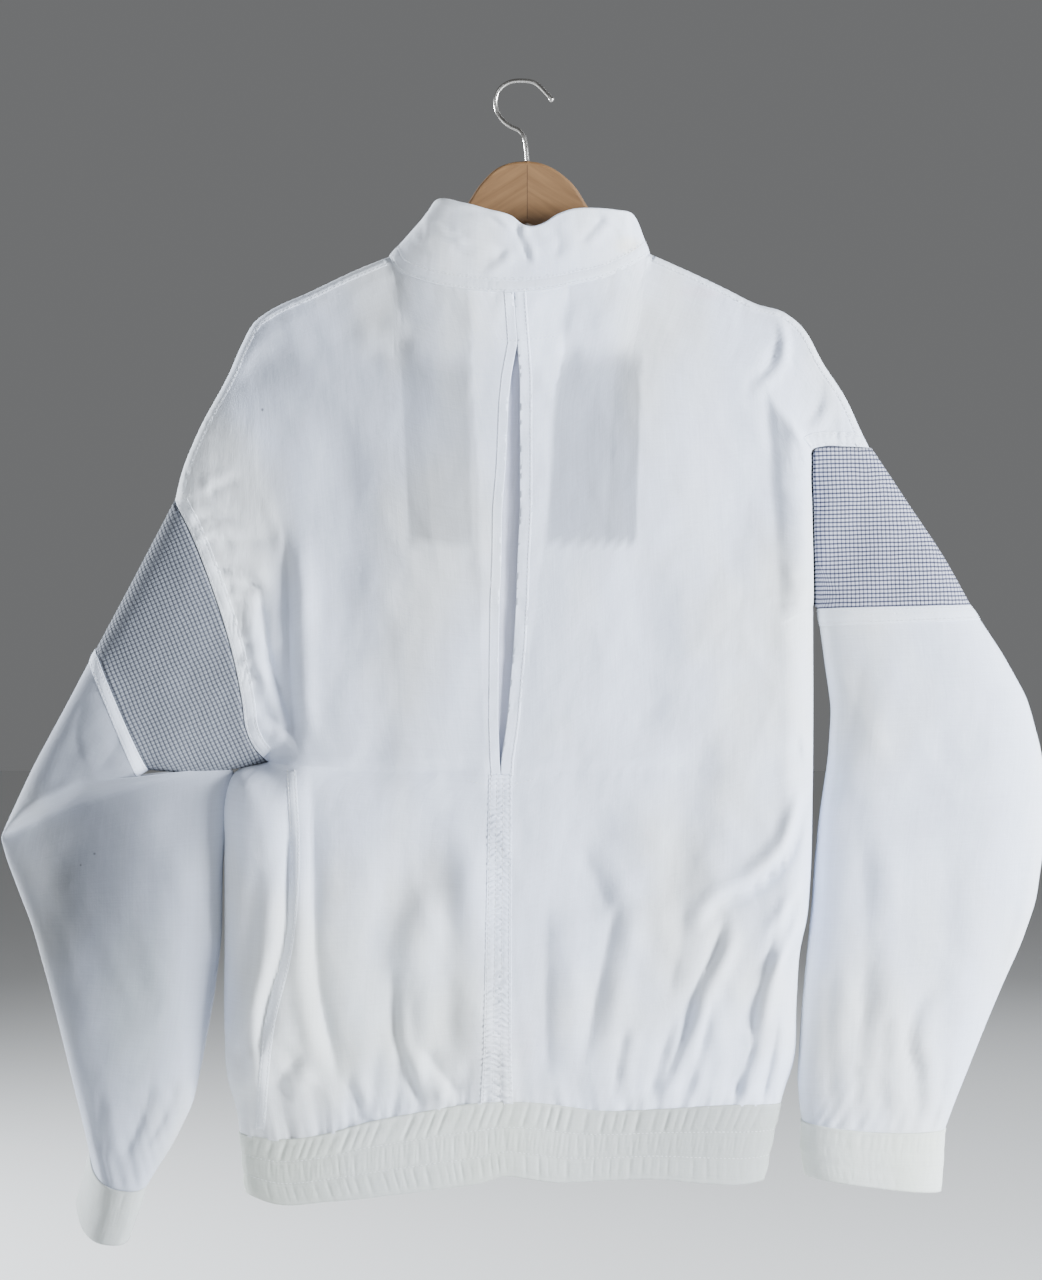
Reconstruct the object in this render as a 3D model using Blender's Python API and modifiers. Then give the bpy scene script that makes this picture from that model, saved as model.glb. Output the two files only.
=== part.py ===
"""A racing jacket hanging on a wooden hanger, seen from its back along +Y.

Places are written in millimetres as x, to the viewer's right, and drop, down from the inside
top of the hanger's hook. The world is in metres, with +Z up and the jacket's back towards -Y.
"""
import math

import bmesh
import bpy
import numpy as np
from mathutils import Matrix

MM = 0.001
COLLECTION = "racing_jacket"

# Cloth and clearances
CLOTH = 1.5
PLEAT_CLOTH = 1.0
SEAM_GAP = 0.3
HALF_GAP = SEAM_GAP / 2
FOLDED_GAP = 0.26
WAIST_GAP = 0.7

# Half depths of the hanging jacket, from its middle plane to its near or far cloth
CHEST_DEPTH = 43.0
SHOULDER_DEPTH = 9.0
SHOULDER_ROUND = 6.0
CHEST_REACH = 130.0
SIDE_ROUND = 36.0
SIDE_ROUND_RIGHT = 26.0
ARMHOLE_DEPTH = 24.0
NECK_DEPTH = 30.0
COLLAR_DEPTH = 30.0
COLLAR_LIFT = 0.6
CORNER_LIFT = 1.0
WAIST_DEPTH = 33.0
OVAL_POWER = 2.6

# How the body's cloth is fitted to its neighbours: shares of its width or height, and millimetres
ARMHOLE_REACH_LEFT = 0.45
ARMHOLE_REACH_RIGHT = 0.12
ARMHOLE_FLAT_RIGHT = 0.6
WAIST_HOLD = 0.012
FIT_REACH = 0.3
FOLDS_CLEAR_OF_SHOULDER = 34.0
FOLDS_CLEAR_OF_SIDE = 34.0
FOLDS_CLEAR_OF_ARMHOLE = 26.0
FOLDS_CLEAR_OF_NECK = 24.0
FOLDS_CLEAR_OF_WAIST = 16.0
SLEEVE_FOLD_FADE = 8.0

# The gathered bands
CUFF_HALF_WIDTH = 60.0
CUFF_HALF_DEPTH = 28.0
SIDE_SHARPNESS = 8
ZIP_FLAT = 17.0
ZIP_FADE = 8.0
HEM_LEAN = 1.5
BAND_END_EASE = 1.08

# Zip
FRONT_EDGE = 4.0
TAPE_WIDTH = 12.0
TAPE_SLOPE = 0.8
TAPE_CLOTH = 1.0
TAPE_BEHIND = CLOTH / 2 + SEAM_GAP + TAPE_CLOTH / 2
TAPE_TOP = 163.0
TAPE_FOOT = 868.0
TAPE_MARGIN = 3.0
TAPE_STEP = 1.5
SLIDER_DROP = 178.0
SLIDER_WIDTH = 7.0
SLIDER_TALL = 11.0
SLIDER_THICK = 4.2
SLIDER_BEVEL = 0.9
BRIDGE_WIDTH = 2.4
BRIDGE_TALL = 7.6
BRIDGE_OUT = 3.6
BRIDGE_BAR = 1.2
BRIDGE_SINK = 0.6
BRIDGE_CORNER_OUT = 0.8
BRIDGE_CORNER_TALL = 1.0
PULL_WIDTH = 7.0
PULL_LONG = 26.0
PULL_THICK = 1.2
PULL_SHOULDER = 1.0
PULL_ROUND = 2.0
PULL_EYE_WIDTH = 3.4
PULL_EYE_LONG = 4.4
PULL_BAR = 1.2
PULL_HANG = 0.8

# Hanger
ARM_THICK = 9.0
ARM_BEVEL = 3.0
WIRE = 3.4
HOOK_STEM_FOOT = 62.6
HOOK_POINTS = 34

# Grid lines of the cloth, as fractions: across from the centre to the side, and up from the hem
ACROSS = (0, 0.06, 0.14, 0.22, 0.31, 0.4, 0.49, 0.58, 0.66, 0.74, 0.81, 0.87, 0.92, 0.955, 0.98, 0.994, 1)
UP_LOWER = (0, 0.012, 0.06, 0.13, 0.22, 0.32, 0.43, 0.54, 0.65, 0.76, 0.87, 0.95)
UP_UPPER = (0, 0.015, 0.06, 0.15, 0.28, 0.42, 0.57, 0.72, 0.85, 0.935, 0.98, 0.9975, 1)
SLEEVE_ACROSS = tuple(1 - up for up in reversed(UP_UPPER))
NECK_CORNER = 6
NECK_SHARES = (0, 0.2, 0.42, 0.64, 0.84, 0.965, 1)
SHOULDER_SHARES = (0, 0.14, 0.27, 0.37, 0.46, 0.56, 0.68, 0.8, 0.91, 0.972, 1)

# Outlines as (x, drop) rows
SHOULDER_LEFT = ((-106, 139), (-133, 150), (-171, 168), (-203, 183), (-214, 191), (-225, 210),
                 (-235, 233), (-259, 278), (-273, 313), (-278, 334))
SHOULDER_RIGHT = ((100, 137), (138, 154), (163, 166), (185, 177), (208, 184), (220, 193),
                  (240, 226), (257, 252), (270, 280), (276, 292))
NECK_BACK = ((-106, 139), (-99, 151), (-81, 160), (-56, 166), (-32, 169), (-8, 170), (18, 168),
             (42, 163), (63, 158), (82, 149), (92, 143), (100, 137))
NECK_FRONT = ((-106, 139), (-99, 152), (-88, 170), (-72, 192), (-44, 212), (-3, 222), (38, 211),
              (66, 190), (82, 167), (93, 149), (100, 137))
COLLAR_TOP_BACK = ((-75, 104), (-70, 97), (-47, 100), (-26, 106), (-11, 110), (4, 119), (14, 117),
                   (27, 109), (39, 105), (54, 104), (73, 105), (86, 107), (92, 115))
COLLAR_TOP_FRONT = ((-75, 104), (-66, 124), (-42, 148), (-3, 160), (40, 150), (76, 132), (92, 115))
WAIST_SEAM = ((-226, 840), (-195, 842.5), (-160, 838), (-125, 828), (-80, 819), (-30, 811.5),
              (12, 812), (60, 818), (112, 817), (157, 815), (205, 816))
HEM = ((-222, 886), (-197, 893), (-154, 890), (-110, 885), (-65, 879), (-36, 875), (-15, 869),
       (3, 871), (24, 874), (53, 873), (106, 872), (142, 876), (172, 878), (192, 876))
SIDE_LEFT = ((-226, 840), (-229, 820), (-236, 796), (-238.5, 757), (-238.5, 690), (-238.5, 640),
             (-236, 606), (-228, 574), (-216, 555), (-203.5, 543))
SIDE_RIGHT = ((205, 816), (209, 802), (215, 785), (217.8, 734), (221, 690), (226, 668), (228.5, 640),
              (230.5, 568), (231, 514), (231, 446), (231, 418))
ARMHOLE_LEFT = ((-203.5, 543), (-214, 531), (-220, 517), (-223, 495), (-229, 463), (-238, 430),
                (-249, 398), (-264, 361), (-278, 334))
ARMHOLE_RIGHT = ((231, 418), (230, 380), (229, 340), (228.5, 305), (229.5, 294), (238, 291.5),
                 (255, 291.5), (276, 292))

# The slit down the back's centre as (drop, left edge x, right edge x), closed above and below
SLIT = ((170, -8, -8), (211, -5, -5), (238, -10, -3), (258, -12, -3), (306, -14, -3), (343, -17, -3),
        (382, -17.5, -5), (416, -19, -6), (451, -19.5, -8), (509, -20, -13), (540, -19, -17.5),
        (553, -18, -18))
WAIST_CENTRE = (-21, 811)

# The underlay inside the slit as (drop, left edge x, right edge x)
PLEAT = ((214, -46, 34), (300, -43, 26), (390, -40, 16), (470, -36, 6), (556, -32, -6))
PLEAT_POINTS = 7
PLEAT_MIDDLE = -10
PLEAT_BEHIND = 2.8

FRONT_CENTRE = -3
ARMHOLE_CORNER = 0.68
NECK_FRONT_DROP = 222
FRONT_SPLIT_DROP = 480

# Folds of the back as (trough depth, half width, line); a negative depth is a ridge
BACK_FOLDS = (
    (7, 12, ((-186, 566), (-186, 667), (-202, 739), (-207, 778))),
    (5, 10, ((-166, 619), (-163, 714), (-148, 793))),
    (5, 16, ((-90, 645), (-103, 675), (-101, 718), (-98, 778))),
    (4, 16, ((-55, 486), (-55, 654))),
    (6, 12, ((222, 583), (192, 622), (156, 655), (146, 667))),
    (6, 10, ((230, 647), (213, 665), (197, 677), (189, 701), (181, 739))),
    (5, 11, ((156, 662), (151, 701), (128, 752), (110, 802))),
    (4, 16, ((133, 497), (125, 573), (110, 654))),
    (4, 10, ((74, 654), (62, 714), (46, 778))),
    (5, 12, ((-188, 362), (-180, 447), (-177, 523))),
    (6, 10, ((-207, 421), (-200, 447), (-188, 486), (-183, 518))),
    (4, 10, ((-235, 249), (-209, 228), (-190, 218))),
    (4, 9, ((201, 199), (200, 221), (182, 237))),
)
FRONT_FOLDS = (
    (6, 13, ((-190, 560), (-184, 660), (-196, 760))),
    (5, 14, ((-120, 640), (-112, 700), (-118, 780))),
    (5, 12, ((212, 560), (180, 640), (150, 690))),
    (5, 12, ((140, 650), (128, 720), (112, 790))),
    (4, 16, ((80, 430), (74, 600))),
    (5, 12, ((-200, 400), (-176, 480), (-166, 540))),
)

# Sleeve sections: outer x and drop, inner x and drop, near and far half depth, the bow of the
# section across its chord, and how far x and drop lean from the far cloth to the near cloth
MESH_SEAM_LEFT = (-341, 453, -300, 549, 25, 25, 0, 0, 0)
MESH_SEAM_RIGHT = (357, 418, 235.5, 421, 22, 24, 0, 0, 0)
MESH_OUTER_LEFT = ((-278, 334), (-310, 395), (-341, 453))
MESH_INNER_LEFT = ((-205.2, 540.3), (-234, 547), (-270, 550.5), (-300, 549))
MESH_SHIFT_LEFT = (-0.6, 0.4)
MESH_START_LEFT = 1.0
MESH_OUTER_RIGHT = ((276, 292), (305, 335), (336, 381), (357, 418))
MESH_INNER_RIGHT = ((232.2, 418), (235.5, 421))
MESH_SHIFT_RIGHT = (2.0, 0.4)
MESH_START_RIGHT = 0.6
MESH_ROWS = 5
LOWER_SHIFT_LEFT = (-0.45, 0.25)
LOWER_SHIFT_RIGHT = (0.05, 0.45)
LOWER_LEFT = (
    (-366, 500, -304, 550.7, 26, 25, 2, 0, 0),
    (-392, 548, -307, 552.8, 27, 25, -4, 0, 0),
    (-415, 598, -308.5, 555.4, 26, 24, -12, 0, 0),
    (-417.5, 604, -230, 554.5, 13, 24, -10, 0, 0),
    (-413, 620, -236, 582, 18, 26, -6, 0, 0),
    (-403, 646, -241, 630, 24, 27, -2, 0, 0),
    (-392, 674, -241.3, 682, 27, 28, 0, 0, 0),
    (-378, 724, -248, 733, 28, 28, 0, 0, 0),
    (-367, 768, -256.5, 779, 29, 29, 0, 1, 2),
    (-358, 806, -264, 814, 31, 31, 0, 3, 5),
    (-351, 834, -280, 843, 34, 34, 0, 5, 11),
    (-345.5, 860, -300, 865, 37, 37, 0, 8, 18),
)
CUFF_LEFT = (
    (-345.7, 860.6, -300.2, 865.6, 37, 37, 0, 8, 18),
    (-350, 882, -307, 886, 38, 38, 0, 9, 17),
    (-356, 905, -316, 908, 36, 36, 0, 10, 16),
)
LOWER_RIGHT = (
    (382, 456, 241, 462, 26, 26, 0, 0, 0),
    (402, 492, 246.5, 500, 28, 27, 0, 0, 0),
    (413, 533, 244, 540, 30, 28, 0, 0, 0),
    (418, 574, 237, 585, 31, 29, 0, 0, 0),
    (415, 610, 233, 625, 31, 29, 0, 0, 0),
    (409, 654, 230.5, 662, 30, 29, 0, 0, 0),
    (397, 688, 227, 697, 29, 29, 0, 0, 0),
    (382, 721, 223.2, 735, 29, 29, 0, 0, 0),
    (369, 752, 221.2, 766, 29, 29, 0, 0, 0),
    (357, 782, 219.5, 795, 29, 29, 0, 0, 0),
    (345, 812, 221, 817, 28, 28, 0, 0, 0),
    (336, 836, 223, 830, 27, 27, 3, 0, 0),
)
CUFF_RIGHT = (
    (336, 836.5, 223, 830.5, 27, 27, 3, 0, 0),
    (335, 861, 222, 852, 27, 27, 2, 0, 0),
    (333, 885, 225, 872, 26, 26, 1, 0, 0),
)
RIGHT_SLEEVE_FOLDS = (
    (8, 14, ((147, 587), (183, 583), (216, 574), (239, 557))),
    (5, 12, ((262, 460), (254, 530))),
    (6, 12, ((271, 610), (269, 690), (274, 780))),
    (5, 12, ((330, 642), (331, 730))),
    (6, 11, ((318, 740), (308, 780), (312, 825))),
    (6, 12, ((404, 632), (380, 700), (356, 760))),
    (7, 14, ((270, 583), (307, 583), (340, 570))),
)
LEFT_SLEEVE_FOLDS = (
    (7, 15, ((-366, 625), (-371, 680), (-368, 720))),
    (5, 10, ((-300, 800), (-314, 845))),
    (5, 10, ((-284, 790), (-298, 835))),
    (4, 12, ((-330, 640), (-322, 740))),
)
FAR_SLEEVE_FOLDS = (
    (6, 14, ((300, 600), (290, 720))),
    (5, 12, ((350, 560), (330, 690))),
    (5, 14, ((-320, 640), (-312, 760))),
)

# The hook's centre line from its stem to its tip, and the two arms of the hanger
HOOK = ((3, HOOK_STEM_FOOT), (2, 52), (0, 43), (-3.5, 38.2), (-10, 35), (-16.5, 30), (-21.2, 23),
        (-22.4, 15), (-19, 5), (-11, -0.6), (-1, -1.8), (9, 0), (17, 7), (21, 11.5), (23.5, 15))
ARM_LEFT = ((2.85, 63), (-9, 64), (-20, 68), (-34, 81), (-47, 100), (-76, 125), (-106, 145.6),
            (-133, 153.2), (-171, 169.8), (-196, 182), (-204, 188), (-211, 197), (-214, 207),
            (-210, 214), (-202, 214), (-150, 187), (-106, 166), (-60, 141), (-20, 121), (-6, 116),
            (2.85, 112))
ARM_RIGHT = ((3.15, 63), (11, 64), (20, 67), (38, 80), (54, 103), (76, 125), (101, 143),
             (134, 155.6), (163, 167.9), (185, 179.2), (200, 185), (208, 190.5), (214, 198), (217, 207),
             (213, 214), (204, 214), (150, 187), (106, 166), (60, 140), (24, 122), (14, 117),
             (3.15, 112))

# Gathers: the waves round the waistband and round a cuff, and how far they stand out
WAIST_WAVES = 88
CUFF_WAVES = 20
WAIST_ROWS = ((0, 0.5), (0.17, 1.5), (0.34, 0.5), (0.67, 0.6), (1, 0.7))
CUFF_ROWS = ((0, 0.3), (0.25, 1.3), (0.62, 0.6), (1, 0.8))


def curve_through(points, fractions):
    """Points of a smooth curve through the given ones, at fractions of its length."""
    given = np.array(points, float)
    chord = np.concatenate([[0], np.cumsum(np.linalg.norm(np.diff(given, axis=0), axis=1))])
    slope = np.gradient(given, chord, axis=0)
    at = np.clip(np.asarray(fractions, float), 0, 1) * chord[-1]
    span = np.clip(np.searchsorted(chord, at, side="right") - 1, 0, len(given) - 2)
    length = (chord[span + 1] - chord[span])[:, None]
    t = (at - chord[span])[:, None] / length
    return (
        (2 * t**3 - 3 * t**2 + 1) * given[span]
        + (t**3 - 2 * t**2 + t) * length * slope[span]
        + (3 * t**2 - 2 * t**3) * given[span + 1]
        + (t**3 - t**2) * length * slope[span + 1]
    )


def on_curve_at(points, xs):
    """Points of the smooth curve through the given ones where it crosses each x."""
    fine = curve_through(points, np.linspace(0, 1, 401))
    return np.stack([np.asarray(xs, float), np.interp(xs, fine[:, 0], fine[:, 1])], axis=1)


def distance_to_line(points, line):
    """The distance of each point from a line of straight pieces."""
    flat = np.asarray(points, float).reshape(-1, 1, 2)
    start = np.array(line[:-1], float)
    along = np.array(line[1:], float) - start
    share = ((flat - start) * along).sum(2) / (along**2).sum(1)
    nearest = start + np.clip(share, 0, 1)[..., None] * along
    return np.linalg.norm(flat - nearest, axis=2).min(1).reshape(np.shape(points)[:-1])


def distance_to_curve(points, given, share=1.0):
    """The distance of each point from the smooth curve through the given ones, or its first share."""
    return distance_to_line(points, curve_through(given, np.linspace(0, share, 61)))


def rounded(distance, reach):
    """From 0 at a folded edge to 1 at reach from it, as a quarter circle."""
    share = np.clip(np.asarray(distance) / reach, 0, 1)
    return np.sqrt(1 - (1 - share) ** 2)


def oval(share):
    """The depth of a flattened tube across its width, from 0 at its folds to 1."""
    return (1 - np.abs(2 * np.asarray(share, float) - 1) ** OVAL_POWER) ** (1 / OVAL_POWER)


def fold_sink(points, folds):
    """How far the cloth sinks into its troughs at each point."""
    sink = np.zeros(np.shape(points)[:-1])
    for depth, half_width, line in folds:
        sink += depth * np.exp(-((distance_to_line(points, line) / half_width) ** 2))
    return sink


def falloff(share, reach):
    """From 1 at an edge to 0 at reach from it, level at both ends."""
    t = np.clip(1 - np.asarray(share, float) / reach, 0, 1)
    return t * t * (3 - 2 * t)


def between_edges(bottom, top, inner, outer, across, up):
    """A grid of points between four edges that meet at their ends."""
    u = np.array(across, float)[None, :, None]
    v = np.array(up, float)[:, None, None]
    edges = (1 - v) * bottom[None] + v * top[None] + (1 - u) * inner[:, None] + u * outer[:, None]
    corners = (
        (1 - u) * (1 - v) * bottom[0]
        + u * (1 - v) * bottom[-1]
        + (1 - u) * v * top[0]
        + u * v * top[-1]
    )
    return edges - corners


def material(name, colour, roughness, metallic=0.0):
    """A plain material of one colour."""
    made = bpy.data.materials.new(name)
    made.use_nodes = True
    shader = made.node_tree.nodes["Principled BSDF"]
    shader.inputs["Base Color"].default_value = (*colour, 1)
    shader.inputs["Roughness"].default_value = roughness
    shader.inputs["Metallic"].default_value = metallic
    return made


def place(points):
    """World metres of an array of x, depth and drop in millimetres."""
    world = np.array(points, float) * MM
    world[..., 2] *= -1
    return world


def cloth_from_grid(name, grid, finish, thickness=CLOTH, closed=False):
    """An object of cloth from rows of x, depth and drop, with its wall on both sides of them."""
    rows, columns = grid.shape[:2]
    mesh = bpy.data.meshes.new(name)
    last = columns if closed else columns - 1
    faces = [
        (r * columns + c, r * columns + (c + 1) % columns,
         (r + 1) * columns + (c + 1) % columns, (r + 1) * columns + c)
        for r in range(rows - 1)
        for c in range(last)
    ]
    mesh.from_pydata([tuple(p) for p in place(grid).reshape(-1, 3)], [], faces)
    mesh.materials.append(finish)
    made = bpy.data.objects.new(name, mesh)
    PARTS.objects.link(made)
    mesh.shade_smooth()
    wall = made.modifiers.new("wall", "SOLIDIFY")
    wall.thickness = thickness * MM
    wall.offset = 0
    return made


def body_depth(points):
    """The half depth of the body's cloth, before its edges are fitted to their neighbours."""
    down = np.minimum(distance_to_curve(points, SHOULDER_LEFT), distance_to_curve(points, SHOULDER_RIGHT))
    grown = SHOULDER_DEPTH * rounded(down, SHOULDER_ROUND)
    grown = grown + (CHEST_DEPTH - SHOULDER_DEPTH) * (1 - np.exp(-down / CHEST_REACH))
    left_fold = rounded(distance_to_curve(points, SIDE_LEFT), SIDE_ROUND)
    right_edge = np.minimum(
        distance_to_curve(points, SIDE_RIGHT), distance_to_curve(points, ARMHOLE_RIGHT, ARMHOLE_CORNER)
    )
    right_fold = rounded(right_edge, SIDE_ROUND_RIGHT)
    return grown * left_fold * right_fold


def body_grid(side, face):
    """Rows of x, depth and drop for half of the back or of the front."""
    sign = -1 if side == "left" else 1
    shoulder = SHOULDER_LEFT if side == "left" else SHOULDER_RIGHT
    sides = SIDE_LEFT if side == "left" else SIDE_RIGHT
    armhole = ARMHOLE_LEFT if side == "left" else ARMHOLE_RIGHT
    upper, lower = np.array(UP_UPPER), np.array(UP_LOWER)
    if face == "back":
        neck, neck_middle, inset, waist_start = NECK_BACK, SLIT[0][1], HALF_GAP, WAIST_CENTRE[0]
        drops = SLIT[-1][0] + (SLIT[0][0] - SLIT[-1][0]) * upper
        table = np.array(SLIT, float)
        edge_x = np.interp(drops, table[:, 0], table[:, 1 if side == "left" else 2])
        inner_high = np.stack([edge_x, drops], axis=1)
    else:
        neck, neck_middle, inset, waist_start = NECK_FRONT, FRONT_CENTRE, FRONT_EDGE, FRONT_CENTRE
        drops = FRONT_SPLIT_DROP + (NECK_FRONT_DROP - FRONT_SPLIT_DROP) * upper
        inner_high = np.stack([np.full(len(drops), float(FRONT_CENTRE)), drops], axis=1)
    shift = np.array((sign * inset, 0.0))
    u = np.array(ACROSS)
    neck_end = neck[0] if side == "left" else neck[-1]
    neck_x = neck_middle + (neck_end[0] - neck_middle) * np.array(NECK_SHARES)
    neck_edge = on_curve_at(neck, neck_x)
    top = np.vstack([neck_edge, curve_through(shoulder, SHOULDER_SHARES)[1:]])
    top = top + shift * np.maximum(0, 1 - u / u[NECK_CORNER])[:, None]
    waist_end = WAIST_SEAM[0] if side == "left" else WAIST_SEAM[-1]
    bottom = on_curve_at(WAIST_SEAM, waist_start + (waist_end[0] - waist_start) * u)
    bottom = bottom + shift * (1 - u[:, None])
    inner_high = inner_high + shift
    outer_high = curve_through(armhole, upper)
    middle = inner_high[0] + (outer_high[0] - inner_high[0]) * u[:, None]
    high = between_edges(middle, top, inner_high, outer_high, ACROSS, UP_UPPER)
    high[-2, :NECK_CORNER] = (high[-3, :NECK_CORNER] + high[-1, :NECK_CORNER]) / 2
    inner_low = bottom[0] + (inner_high[0] - bottom[0]) * lower[:, None]
    outer_low = curve_through(sides, lower)
    lower_span = np.append(lower, 1)
    low = between_edges(
        bottom, middle, np.vstack([inner_low, middle[:1]]), np.vstack([outer_low, middle[-1:]]),
        ACROSS, lower_span,
    )[:-1]
    flat = np.concatenate([low, high])

    depth = body_depth(flat)
    rows = len(lower)
    armhole_reach = ARMHOLE_REACH_LEFT if side == "left" else ARMHOLE_REACH_RIGHT
    fitted = ARMHOLE_DEPTH * oval(1 - upper) * (1 if side == "left" else ARMHOLE_FLAT_RIGHT)
    depth[rows:] += (fitted - depth[rows:, -1])[:, None] * falloff(1 - u, armhole_reach)[None]
    width = WAIST_SEAM[-1][0] - WAIST_SEAM[0][0]
    waist_share = (flat[0, :, 0] - WAIST_SEAM[0][0]) / width
    waist_fit = WAIST_DEPTH * oval(np.clip(waist_share, 0, 1))
    rise = np.concatenate([np.maximum(lower - WAIST_HOLD, 0), 1 + upper])
    depth += (waist_fit - depth[0])[None] * falloff(rise, FIT_REACH)[:, None]
    neck_width = neck[-1][0] - neck[0][0]
    neck_share = np.clip((flat[-1, :, 0] - neck[0][0]) / neck_width, 0, 1)
    neck_fit = NECK_DEPTH * oval(neck_share)
    on_neck = np.arange(len(u)) <= NECK_CORNER
    rise_to_neck = np.concatenate([1 + (1 - lower), 1 - upper])
    depth += np.where(on_neck, neck_fit - depth[-1], 0)[None] * falloff(rise_to_neck, FIT_REACH)[:, None]
    from_corner = np.linalg.norm(flat - flat[-1, NECK_CORNER], axis=2)
    steepness = neck_fit[NECK_CORNER - 1] / from_corner[-1, NECK_CORNER - 1]
    depth = np.minimum(depth, HALF_GAP + steepness * from_corner)
    folds = BACK_FOLDS if face == "back" else FRONT_FOLDS
    edges = ((shoulder, FOLDS_CLEAR_OF_SHOULDER), (sides, FOLDS_CLEAR_OF_SIDE),
             (armhole, FOLDS_CLEAR_OF_ARMHOLE), (neck, FOLDS_CLEAR_OF_NECK),
             (WAIST_SEAM, FOLDS_CLEAR_OF_WAIST))
    calm = np.ones(flat.shape[:2])
    for edge, reach in edges:
        calm = calm * np.minimum(1, distance_to_line(flat, edge) / reach) ** 2
    depth -= fold_sink(flat, folds) * calm
    depth = np.maximum(depth, HALF_GAP)
    depth[:rows, -1] = FOLDED_GAP
    depth[-1, NECK_CORNER:] = FOLDED_GAP
    y = depth if face == "front" else -depth
    return np.dstack([flat[..., 0], y, flat[..., 1]])


def make_body():
    """The two halves of the back and of the front."""
    grids = {}
    for face in ("back", "front"):
        for side in ("left", "right"):
            grids[face, side] = body_grid(side, face)
            cloth_from_grid(f"{face}_{side}", grids[face, side], WHITE_CLOTH)
    return grids


def make_pleat(grids):
    """The underlay inside the slit, just behind the cloth of the back's two halves."""
    rows = []
    for drop, left, right in PLEAT:
        xs = np.linspace(left, right, PLEAT_POINTS)
        flat = np.stack([xs, np.full(PLEAT_POINTS, float(drop))], axis=1)
        on_left = xs < PLEAT_MIDDLE
        near = np.where(
            on_left, nearest_depth(grids["back", "left"], flat), nearest_depth(grids["back", "right"], flat)
        )
        rows.append(np.stack([xs, near + PLEAT_BEHIND, flat[:, 1]], axis=1))
    cloth_from_grid("back_pleat", np.array(rows), PLEAT_FINISH, PLEAT_CLOTH)


def nearest_depth(grid, flat):
    """The depth of a grid's cloth at flat points, from its four nearest points."""
    cloth = grid.reshape(-1, 3)
    apart = np.linalg.norm(flat[:, None] - cloth[None][..., [0, 2]], axis=2)
    near = np.argsort(apart, axis=1)[:, :4]
    weight = 1 / (np.take_along_axis(apart, near, axis=1) + 0.5) ** 2
    return (cloth[near, 1] * weight).sum(1) / weight.sum(1)


def ring_from_sections(near_flat, far_flat, near_depth, far_depth):
    """Closed rings: near cloth from the outer fold to the inner one, then far cloth back again."""
    near = np.dstack([near_flat[..., 0], -near_depth, near_flat[..., 1]])
    far = np.dstack([far_flat[..., 0], far_depth, far_flat[..., 1]])
    return np.concatenate([near, far[:, -2:0:-1]], axis=1)


def sleeve_rings(sections, shares, folds):
    """Closed rings of a sleeve through a table of sections."""
    rows = np.array(sections, float)
    s = np.array(shares, float)[None, :, None]
    outer, inner = rows[:, None, 0:2], rows[:, None, 2:4]
    chord = inner - outer
    square = np.stack([-chord[..., 1], chord[..., 0]], axis=2)
    square = square / np.linalg.norm(square, axis=2, keepdims=True)
    square = square * np.sign(square[..., 1:2])
    flat = outer + chord * s + square * rows[:, None, 6:7] * 4 * s * (1 - s)
    profile = oval(np.array(shares, float))[None, :]
    lean = rows[:, None, 7:9] * profile[..., None]
    near_flat, far_flat = flat + lean, flat - lean
    along = np.linspace(0, 1, len(rows))[:, None]
    still = np.minimum(1, np.minimum(along, 1 - along) * SLEEVE_FOLD_FADE)
    near = rows[:, 4:5] * profile
    far = rows[:, 5:6] * profile
    near = near - fold_sink(near_flat, folds) * profile**2 * still
    far = far - fold_sink(far_flat, FAR_SLEEVE_FOLDS) * profile**2 * still
    return ring_from_sections(near_flat, far_flat, near, far)


def make_mesh_band(side):
    """The checked mesh round an upper sleeve, between the armhole and its lower seam."""
    shares = np.array(SLEEVE_ACROSS)
    if side == "left":
        armhole, seam = ARMHOLE_LEFT, MESH_SEAM_LEFT
        outer_line, inner_line = MESH_OUTER_LEFT, MESH_INNER_LEFT
        shift, start = MESH_SHIFT_LEFT, MESH_START_LEFT
    else:
        armhole, seam = ARMHOLE_RIGHT, MESH_SEAM_RIGHT
        outer_line, inner_line = MESH_OUTER_RIGHT, MESH_INNER_RIGHT
        shift, start = MESH_SHIFT_RIGHT, MESH_START_RIGHT
    up = np.linspace(0, 1, MESH_ROWS)
    first = curve_through(armhole, 1 - shares)
    first[-1] = inner_line[0]
    last = np.array(seam[0:2])[None] + (np.array(seam[2:4]) - np.array(seam[0:2]))[None] * shares[:, None]
    outer, inner = curve_through(outer_line, up), curve_through(inner_line, up)
    flat = between_edges(first, last, outer, inner, shares, up)
    flat = flat + np.array(shift) * (1 - up)[:, None, None]
    profile = oval(shares)[None]
    near = profile * (ARMHOLE_DEPTH * start + (seam[4] - ARMHOLE_DEPTH * start) * up[:, None])
    far = profile * (ARMHOLE_DEPTH * start + (seam[5] - ARMHOLE_DEPTH * start) * up[:, None])
    rings = ring_from_sections(flat, flat, near, far)
    cloth_from_grid(f"sleeve_mesh_{side}", rings, MESH_CLOTH, closed=True)


def make_lower_sleeves():
    """The full lower sleeves, each from its mesh band to its cuff."""
    tables = (("left", MESH_SEAM_LEFT, LOWER_SHIFT_LEFT, LOWER_LEFT, LEFT_SLEEVE_FOLDS),
              ("right", MESH_SEAM_RIGHT, LOWER_SHIFT_RIGHT, LOWER_RIGHT, RIGHT_SLEEVE_FOLDS))
    for side, seam, shift, sections, folds in tables:
        first = list(seam)
        for place_in_row in (0, 2):
            first[place_in_row] += shift[0]
            first[place_in_row + 1] += shift[1]
        rings = sleeve_rings((tuple(first),) + sections, SLEEVE_ACROSS, folds)
        cloth_from_grid(f"sleeve_lower_{side}", rings, WHITE_CLOTH, closed=True)


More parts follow.
